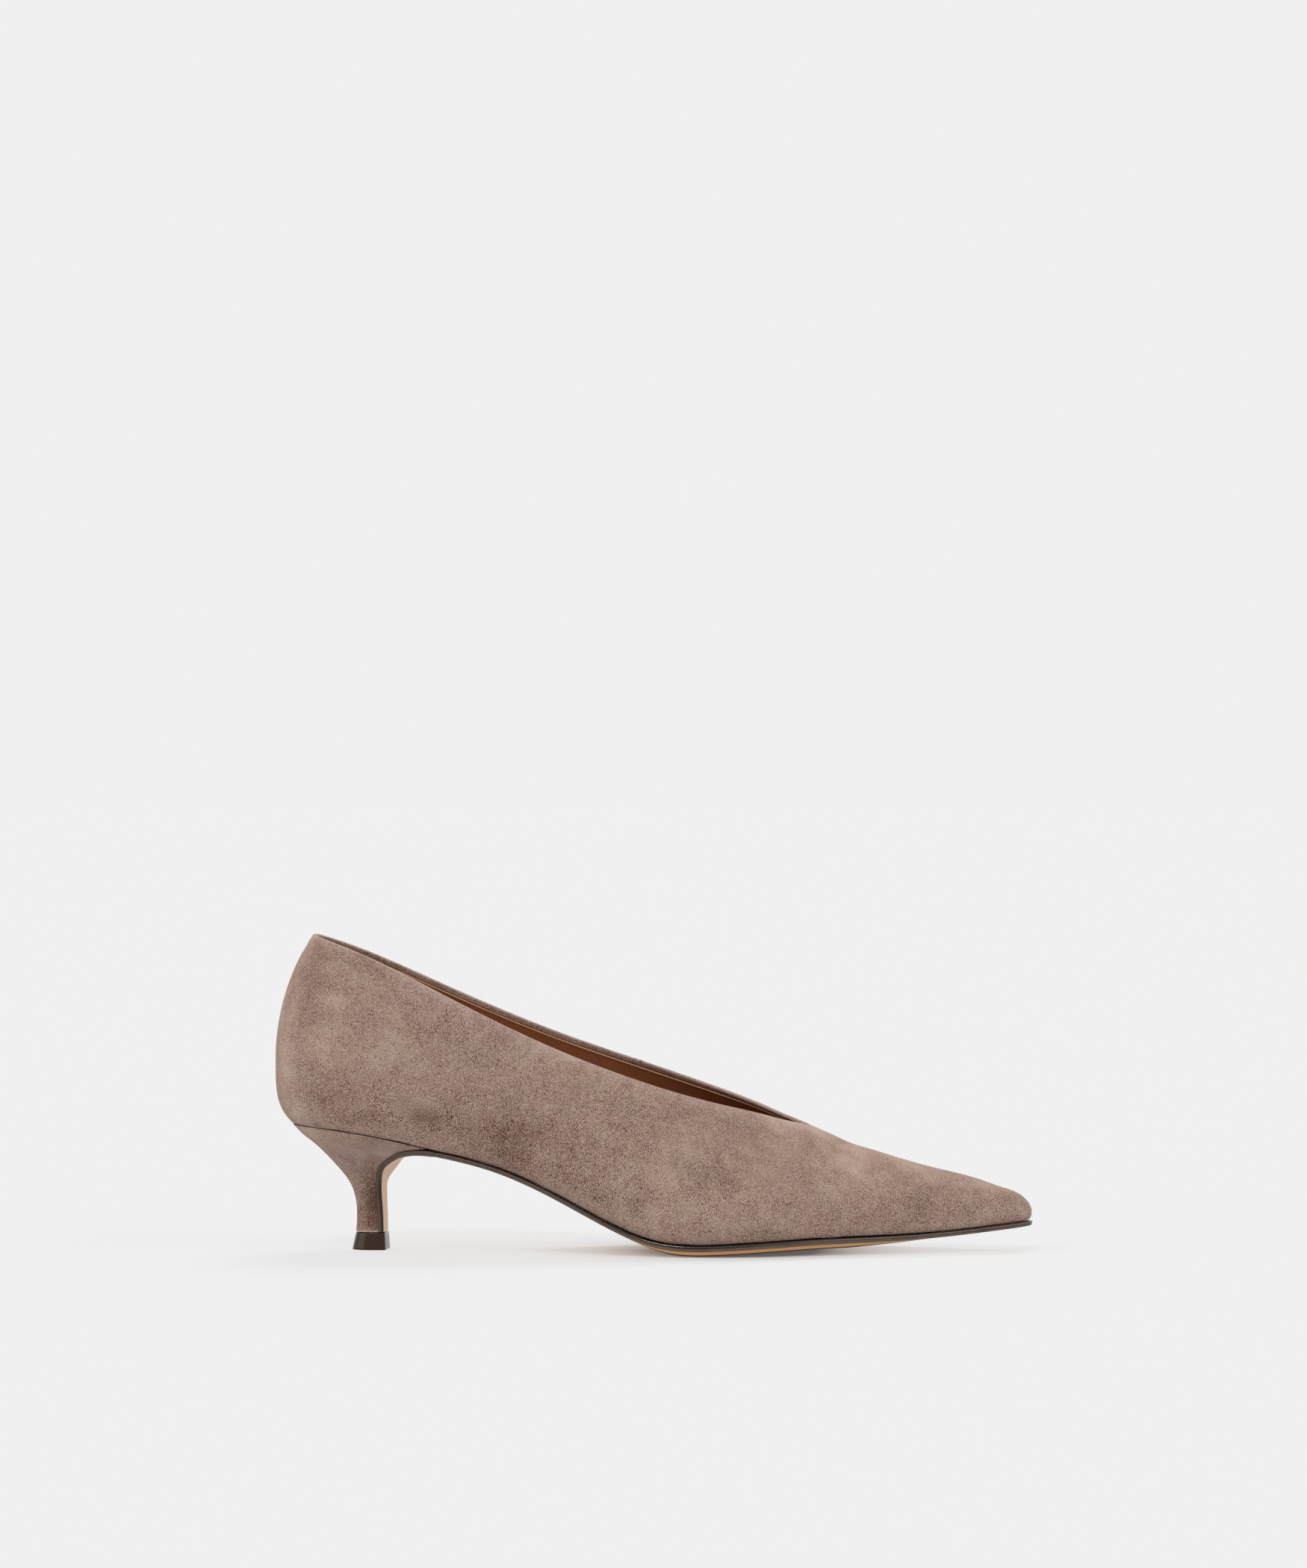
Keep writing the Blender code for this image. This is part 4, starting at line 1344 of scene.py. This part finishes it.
@dataclass
class Outsole:
    """The leather sole with its painted edge. It runs from the foot of the heel's front up under the arch
    and forward to the toe. Bevel start and bevel end each give a start and a run, and so does the painted
    shade at the bevel's turned-under foot. Bead black is how much of the edge is black, and what is added
    at the ball; bead ball is where that is, and how wide. Flap black gives the share of the way down, its
    blur and how black; flap fade a height, a run and the least that is left. Flap joint is where the sole's
    own stations start, and from where all are kept."""

    last: Last
    form: HeelForm
    paint: Material
    leather: Material
    gloss: Material
    step: float = 1.6
    ledge: float = 0.6
    ledge_run: float = 14.0
    bulge: float = 0.2
    corner: float = 0.3
    edge_power: float = 3.2
    bead: float = 0.4
    bead_half: float = 0.21
    bead_share: float = 0.42
    bead_black: Pair = (0.16, 0.3)
    bead_ball: Pair = (145.0, 38.0)
    bead_blur: float = 0.1
    groove: float = 0.12
    groove_place: float = 0.45
    groove_width: float = 0.05
    flap_gap: float = 0.08
    flap_gap_run: float = 12.0
    flap_joint: Pair = (2.0, 5.0)
    flap_black: Vector = (0.58, 0.2, 0.8)
    flap_fade: Vector = (29.0, 7.0, 0.15)
    joint_width: float = 7.0
    joint_passes: int = 30
    bevel: float = 1.45
    bevel_run: float = 1.1
    bevel_lean: float = 1.6
    bevel_start: Pair = (119.0, 21.0)
    bevel_end: Pair = (222.0, -26.0)
    under_shade_from: Pair = (0.62, 0.2)
    under_power: float = 1.3
    drawn_power: int = 8
    floor_gap: float = 0.15
    flap_thickness: float = 1.8
    across: int = 33
    edge_steps: int = 24
    bevel_steps: int = 6

    def edge_profile(self) -> tuple[Array, Array]:
        """The section of the painted edge from its top corner to its lower one: how far it stands out, a
        superellipse with a half ellipse added for the bead at its top and a narrow bell curve taken off for
        the groove below that, and how far down it is."""
        way = np.linspace(0, math.pi, self.edge_steps)
        down = 0.5 * (1 - np.cos(way)) / 2 + 0.5 * way / math.pi
        power = self.edge_power
        out = (1 - np.abs(2 * down - 1) ** power) ** (1 / power) * (self.bulge + self.corner) - self.corner
        out = out + self.bead * np.sqrt(np.clip(1 - ((down - self.bead_half) / self.bead_half) ** 2, 0, 1))
        return out - self.groove * bell(down - self.groove_place, self.groove_width), down

    def path(self) -> tuple[Array, Array, Array, Array]:
        """The sole's two upper edges along its length, their outward directions, its thickness, and the
        stations ahead of the heel."""
        last = self.last
        front = self.form.rings()[::-1, :, -1]
        x = last.stations(self.step)
        first, second = (last.seat_front + ahead for ahead in self.flap_joint)
        x = np.concatenate([[first], x[x > second]])
        flap_out = np.zeros((len(front), 2, 3)) + np.array([(0, side, 0) for side in SIDES])
        fore, fore_out = [], []
        for side in SIDES:
            edge, outward = last.outline(x, side)
            ledge = self.ledge * climb(x, last.seat_front, self.ledge_run)
            fore.append(np.column_stack([edge + outward * ledge[:, None], last.curve["feather"](x)]))
            fore_out.append(np.column_stack([outward, np.zeros(len(x))]))
        edges = self.eased(np.concatenate([front, np.stack(fore, axis=1)]), len(front))
        outward = self.eased(np.concatenate([flap_out, np.stack(fore_out, axis=1)]), len(front))
        thick = np.concatenate([np.full(len(front), self.flap_thickness), last.curve["sole"](x)])
        return edges, outward, thick, x

    def build(self) -> list[Piece]:
        """Carries the sole's section along its path: a face that follows the crown of the last, moved down
        along the path's own normal by the gap; the edge's profile; under it a bare bevel from the ball to
        the toe, no deeper than the floor allows; and an underside that falls from there to the middle by one
        less a power of the share of the half width. Faces are bare leather, painted edge or glossy bead."""
        last = self.last
        edges, outward, thick, x = self.path()
        line = edges.mean(axis=1)
        length = np.concatenate([[0], np.cumsum(np.linalg.norm(np.diff(line, axis=0), axis=1))])
        along = np.gradient(line, length, axis=0)
        down = unit(np.stack([along[:, 2], np.zeros(len(line)), -along[:, 0]], axis=1))
        shares = (1 - np.cos(np.linspace(0, math.pi, self.across))) / 2
        flat = edges[:, :1] + (edges[:, 1:] - edges[:, :1]) * shares[None, :, None]
        ahead = slice(len(edges) - len(x), None)
        gap = np.full(len(edges), self.flap_gap)
        gap[ahead] += (last.gap - self.flap_gap) * climb(x, last.seat_front, self.flap_gap_run)
        flat = flat + (down * gap[:, None])[:, None]
        drop = np.zeros(flat.shape[:2])
        drop[ahead] = last.crown(np.broadcast_to(x[:, None], drop[ahead].shape), flat[ahead, :, 1])
        fore = np.zeros(len(edges))
        fore[ahead] = x
        start, stop = climb(fore, *self.bevel_start), climb(fore, *self.bevel_end)
        bevel = self.bevel * eased_step(start) * stop
        lowest = (flat + (down * thick[:, None])[:, None])[..., 2].min(axis=1)
        bevel = np.clip(bevel, 0, np.maximum(lowest - self.floor_gap, 0))
        deeper = np.maximum(drop.max(axis=1) - bevel, 0)[:, None]
        fall = bevel[:, None] + deeper * (1 - np.abs(2 * shares - 1) ** self.under_power)
        top = flat - drop[..., None] * (0, 0, 1)
        base = flat + (down * thick[:, None])[:, None]
        out, low = self.edge_profile()
        lean = np.linspace(0, 1, self.bevel_steps + 1)[1:]
        run = (lean**self.bevel_lean * self.bevel_run)[None, :, None]
        full = (bevel / self.bevel)[:, None, None]
        sides = []
        for i, end in ((0, 0), (1, -1)):
            corner = flat[:, end, None] + (base - flat)[:, end, None] * low[None, :, None]
            edge = corner + outward[:, i, None] * out[None, :, None]
            inward = outward[:, i, None] * run * full
            under = edge[:, -1:] - inward - bevel[:, None, None] * lean[None, :, None] * (0, 0, 1)
            sides.append(np.concatenate([edge, under], axis=1))
        top = self.drawn_in(top, np.stack([sides[0][:, 0], sides[1][:, 0]], axis=1))
        under = base - fall[..., None] * (0, 0, 1)
        under = self.drawn_in(under, np.stack([sides[0][:, -1], sides[1][:, -1]], axis=1))
        rings = np.concatenate([sides[0][:, ::-1], top[:, 1:-1], sides[1], under[:, -2:0:-1]], axis=1)
        ids = numbered(rings)
        count, around = sides[0].shape[1], rings.shape[1]
        second = count + self.across - 2
        high = int(np.searchsorted(low, self.bead_share))
        kinds = np.ones(around, int)
        kinds[self.bevel_steps : count + 2] = 0
        kinds[second - 3 : second + self.edge_steps - 1] = 0
        kinds[count - high : count + 2] = 2
        kinds[second - 3 : second + high - 1] = 2
        slots = np.where(fore[:-1, None] > 0, kinds, kinds % 2)
        quads = loft(ids)[:, ::-1]
        ends = np.zeros(len(quads) - around * (len(rings) - 1), int)
        slots = np.concatenate([slots.reshape(-1), ends])
        bead = np.zeros(rings.shape[:2])
        plain = np.zeros((len(fore), self.bevel_steps))
        black = np.concatenate([self.beaded(fore, line[:, 2], low), plain], axis=1)
        bead[:, :count] = black[:, ::-1]
        bead[:, second : second + count] = black
        bead[:, count:second] = 1.0
        # The bevel's attribute: one half where it is waxed, rising over its lowest steps to one for a
        # painted line of shade where it turns under.
        wax_and_shade = np.zeros(rings.shape[:2])
        under_shade = 0.5 + 0.5 * climb(lean, *self.under_shade_from)
        bare = np.clip(bevel / self.bevel * 3, 0, 1)[:, None] * under_shade
        wax_and_shade[:, : self.bevel_steps] = bare[:, ::-1]
        wax_and_shade[:, second + self.edge_steps : second + count] = bare
        wax_and_shade[:, self.bevel_steps] = wax_and_shade[:, second + self.edge_steps - 1] = bare[:, 0]
        attributes = {"bead": bead.reshape(-1), "wax_and_shade": wax_and_shade.reshape(-1)}
        mesh = Mesh(rings.reshape(-1, 3), quads, slots, attributes)
        sole = mesh.build("leather_sole", [self.paint, self.leather, self.gloss], sharp=40)
        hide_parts("outsole")
        return [sole]

    def eased(self, line: Array, joint: int) -> Array:
        """The line with each point near the joint moved towards the mean of its neighbours, over and over,
        so that the flap runs into the sole in one curve."""
        near = bell(np.arange(len(line)) - joint, self.joint_width)[1:-1, None, None]
        line = line.copy()
        for _ in range(self.joint_passes):
            line[1:-1] += near * ((line[:-2] + line[2:]) / 2 - line[1:-1]) * 0.5
        return line

    def beaded(self, fore: Array, height: Array, low: Array) -> Array:
        """How black the edge is at each place along the sole and share of the way down: on the flap its
        front edge, less so up the bend, and from the arch forward a bead along its top that is widest at the
        ball."""
        narrow, more = self.bead_black
        ball, reach = self.bead_ball
        wide = narrow + more * bell(fore - ball, reach)
        bead = np.clip((wide[:, None] - low) / self.bead_blur + 0.5, 0, 1)
        edge, blur, dark = self.flap_black
        bend, run, least = self.flap_fade
        flap = np.clip((low - edge) / blur + 0.5, 0, 1)
        flap = flap * (dark * np.clip((bend - height) / run, least, 1))[:, None]
        return np.where(fore[:, None] > 0, bead, flap)

    def drawn_in(self, face: Array, ends: Array) -> Array:
        """The face with its two edges moved to the given ends. The rest moves by a high power of its share
        of the way across, so that the middle stays."""
        power = self.drawn_power
        shares = np.linspace(0, 1, face.shape[1])[None, :, None]
        start, stop = (ends[:, 0] - face[:, 0])[:, None], (ends[:, 1] - face[:, -1])[:, None]
        return face + start * (1 - shares) ** power + stop * shares**power


@dataclass
class TopLift:
    """The flared hard tip that the heel stands on. Each level is a D, given as in the heel's table."""

    form: HeelForm
    finish: Material
    top: tuple[float, ...] = (27.5, 5.85, 37.9, 5.85, 5.7, 0.60)
    bottom: tuple[float, ...] = (26.2, 0.0, 38.2, 0.0, 6.3, 0.60)
    corner: float = 0.45
    bevel: float = 0.22
    bevel_share: float = 0.3
    back_steps: int = 32
    corner_steps: int = 7
    wall_steps: int = 8

    def outline(self, share: float, inset: float) -> Array:
        """One level's outline: the D's two sides, a quarter circle at each front corner, and the front."""
        top, bottom = np.array(self.top), np.array(self.bottom)
        back_x, z, front_x, _, half, rounded = top + (bottom - top) * share
        back_x, front_x, half = back_x + inset, front_x - inset, half - inset
        way = 1 - np.cos(np.linspace(0, math.pi / 2, self.back_steps))
        depth = front_x - self.corner - back_x
        x = back_x + depth * way
        width = half * np.sqrt(1 - (1 - np.clip(way / rounded, 0, 1)) ** 2)
        angle = np.linspace(0, math.pi / 2, self.corner_steps)[1:]
        x = np.concatenate([x, front_x - self.corner + self.corner * np.sin(angle)])
        width = np.concatenate([width, half - self.corner + self.corner * np.cos(angle)])
        middle = self.form.last.curve["centre"](np.array((self.bottom[0] + self.bottom[2]) / 2))
        lean = math.tan(self.form.turn)
        level = np.full(len(x), z)
        sides = [np.stack([x + s * lean * width, middle + s * width, level], axis=1) for s in SIDES]
        return np.concatenate([sides[0][::-1], sides[1]])

    def build(self) -> list[Piece]:
        """Lofts the levels from top to foot, with a small bevel at both rims."""
        rim = self.bevel / (self.top[1] - self.bottom[1])
        part = self.bevel_share
        steps = [(0.0, self.bevel), (rim * part, self.bevel * part)]
        steps += [(share, 0.0) for share in np.linspace(rim, 1 - rim, self.wall_steps)]
        steps += [(1 - rim * part, self.bevel * part), (1.0, self.bevel)]
        rings = np.stack([self.outline(share, inset) for share, inset in steps])
        ids = numbered(rings)
        lift = Mesh(rings.reshape(-1, 3), loft(ids)[:, ::-1]).build("heel_tip_lift", [self.finish], sharp=35)
        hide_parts("top_lift")
        return [lift]


@dataclass
class Studio:
    """The pale floor, the soft lights and the camera. Each light gives its name, the direction it comes
    from as an azimuth and a height in degrees, how wide it is as an angle, and its strength. Azimuth 0 is
    the camera's side and 90 the toe's. The floor's two albedos are that of the open floor and that of the
    shadow's core under the ball of the foot."""

    backdrop: float = 0.871
    surround: float = 0.34
    floor_albedo: tuple[Colour, Colour] = ((0.24, 0.24, 0.24), (0.805, 0.795, 0.785))
    shadow_place: Vector = (156.0, -6.0, 0.0)
    shadow_reach: float = 80.0
    shadow_core: float = 0.42
    floor_light: float = 0.5
    floor_reach: float = 40.0
    floor_level: float = -1e-4
    target: Vector = (128.5, 0.0, 158.0)
    distance: float = 2200.0
    azimuth: float = 2.0
    picture_height: float = 532.35
    sensor: float = 36.0
    lights: tuple[tuple[str, float, float, float, float], ...] = (
        ("overhead", -10.0, 68.0, 60.0, 0.25),
        ("overhead_back", 172.0, 52.0, 24.0, 0.9),
        ("left_softbox", -66.0, 24.0, 50.0, 0.85),
        ("right_softbox", 68.0, 22.0, 50.0, 0.65),
        ("back_softbox", 175.0, 25.0, 80.0, 0.5),
        ("key", -16.0, 48.0, 6.0, 0.5),
    )

    def floor(self) -> Piece:
        """A wide flat floor. Its own faint glow brings it to the backdrop's paleness, so that no line
        shows between them, while the rest of its light shows the shadows: the glow is the backdrop less
        what the floor scatters of the surround and of each light times the sine of its height. It scatters
        most under the ball of the foot, where the shoe rests and its shadow is deepest."""
        mesh = bpy.data.meshes.new("floor")
        far, level = self.floor_reach, self.floor_level
        corners = [(-far, -far, level), (far, -far, level), (far, far, level), (-far, far, level)]
        mesh.from_pydata(corners, [], [(0, 1, 2, 3)])
        lit = sum(power * math.sin(math.radians(height)) / math.pi for _, _, height, _, power in self.lights)
        board = Board("pale_floor")
        near = board.ball((np.array(self.shadow_place) - ROW_ORIGIN) * MM, self.shadow_reach * MM)
        taken = self.surround + lit
        glow = tuple(tuple(self.backdrop - a * taken for a in albedo) for albedo in self.floor_albedo)
        for socket, (far_off, close) in (("Base Color", self.floor_albedo), ("Emission Color", glow)):
            board.into(socket, board.ramp(near, ((0.0, far_off), (self.shadow_core, close))))
        board.set(Roughness=1.0, Specular_IOR_Level=0.0)
        seen = self.looked_at(board.tree)
        board.into("Emission Strength", board.span(seen, 0.0, 1.0, self.floor_light, 1.0))
        mesh.materials.append(board.material)
        floor = bpy.data.objects.new("floor", mesh)
        bpy.context.scene.collection.objects.link(floor)
        return floor

    @staticmethod
    def looked_at(tree: bpy.types.NodeTree) -> Socket:
        """One where a thing is seen straight on or in a reflection, nothing where it only lights another."""
        path, either = tree.nodes.new("ShaderNodeLightPath"), tree.nodes.new("ShaderNodeMath")
        either.operation = "MAXIMUM"
        tree.links.new(path.outputs["Is Camera Ray"], either.inputs[0])
        tree.links.new(path.outputs["Is Glossy Ray"], either.inputs[1])
        return either.outputs[0]

    def world(self) -> None:
        """A pale backdrop for the camera and for reflections, and a dimmer even surround that lights the
        shoe."""
        world = bpy.data.worlds.new("studio")
        world.use_nodes = True
        nodes, links = world.node_tree.nodes, world.node_tree.links
        surround, backdrop = nodes["Background"], nodes.new("ShaderNodeBackground")
        for node, level in ((surround, self.surround), (backdrop, self.backdrop)):
            node.inputs["Color"].default_value = (level, level, level, 1.0)
        mixed = nodes.new("ShaderNodeMixShader")
        links.new(self.looked_at(world.node_tree), mixed.inputs["Fac"])
        links.new(surround.outputs["Background"], mixed.inputs[1])
        links.new(backdrop.outputs["Background"], mixed.inputs[2])
        links.new(mixed.outputs["Shader"], nodes["World Output"].inputs["Surface"])
        bpy.context.scene.world = world

    def light(self) -> None:
        """Wide soft lights, so far off that they fall evenly on the whole floor."""
        for name, azimuth, height, wide, power in self.lights:
            data = bpy.data.lights.new(name, "SUN")
            data.energy, data.angle = power, math.radians(wide)
            place = self.direction(azimuth, height)
            lamp = bpy.data.objects.new(name, data)
            lamp.location = place
            lamp.rotation_euler = self.aim(place, np.zeros(3))
            bpy.context.scene.collection.objects.link(lamp)

    @staticmethod
    def direction(azimuth: float, height: float) -> Array:
        """The way towards a place at these angles in degrees, at length one."""
        turn, rise = math.radians(azimuth), math.radians(height)
        level = math.cos(rise)
        return np.array([math.sin(turn) * level, -math.cos(turn) * level, math.sin(rise)])

    @staticmethod
    def aim(place: Array, target: Array) -> Vector:
        """Turn of a lamp or camera at a place so that it looks at the target, upright."""
        x, y, z = target - place
        return math.atan2(math.hypot(x, y), -z), 0.0, math.atan2(-x, y)

    def camera(self) -> Piece:
        """A level camera at the photograph's angle, a little towards the toe."""
        data = bpy.data.cameras.new("camera")
        data.sensor_width = self.sensor
        data.lens = self.sensor * self.distance / self.picture_height
        target = (np.array(self.target) - ROW_ORIGIN) * MM
        place = target + self.direction(self.azimuth, 0.0) * self.distance * MM
        camera = bpy.data.objects.new("camera", data)
        camera.location = place
        camera.rotation_euler = self.aim(place, target)
        bpy.context.scene.collection.objects.link(camera)
        bpy.context.scene.camera = camera
        return camera

    def build(self) -> None:
        """Sets the studio up, with colours shown as they are."""
        self.floor()
        self.world()
        self.light()
        self.camera()
        bpy.context.scene.view_settings.view_transform = "Standard"


def main() -> None:
    """Loads the frame, builds the pieces in order and sets up the studio."""
    logging.basicConfig(level=logging.INFO, format="%(message)s")
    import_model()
    last = Last()
    form = HeelForm(last)
    suede, leather = Suede().make(), LiningLeather().make()
    assemblies = [
        Upper(last, suede, leather),
        Sock(last, leather),
        HeelCover(form, suede),
        Outsole(last, form, EdgePaint().make(), SoleLeather().make(), EdgePaint("bead_paint", 0.65).make()),
        TopLift(form, PolishedLift().make()),
    ]
    for assembly in assemblies:
        for piece in assembly.build():
            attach(piece, "root")
            LOG.info("%s: %d faces", piece.name, len(piece.data.polygons))
    Studio().build()


if __name__ == "__main__":
    main()
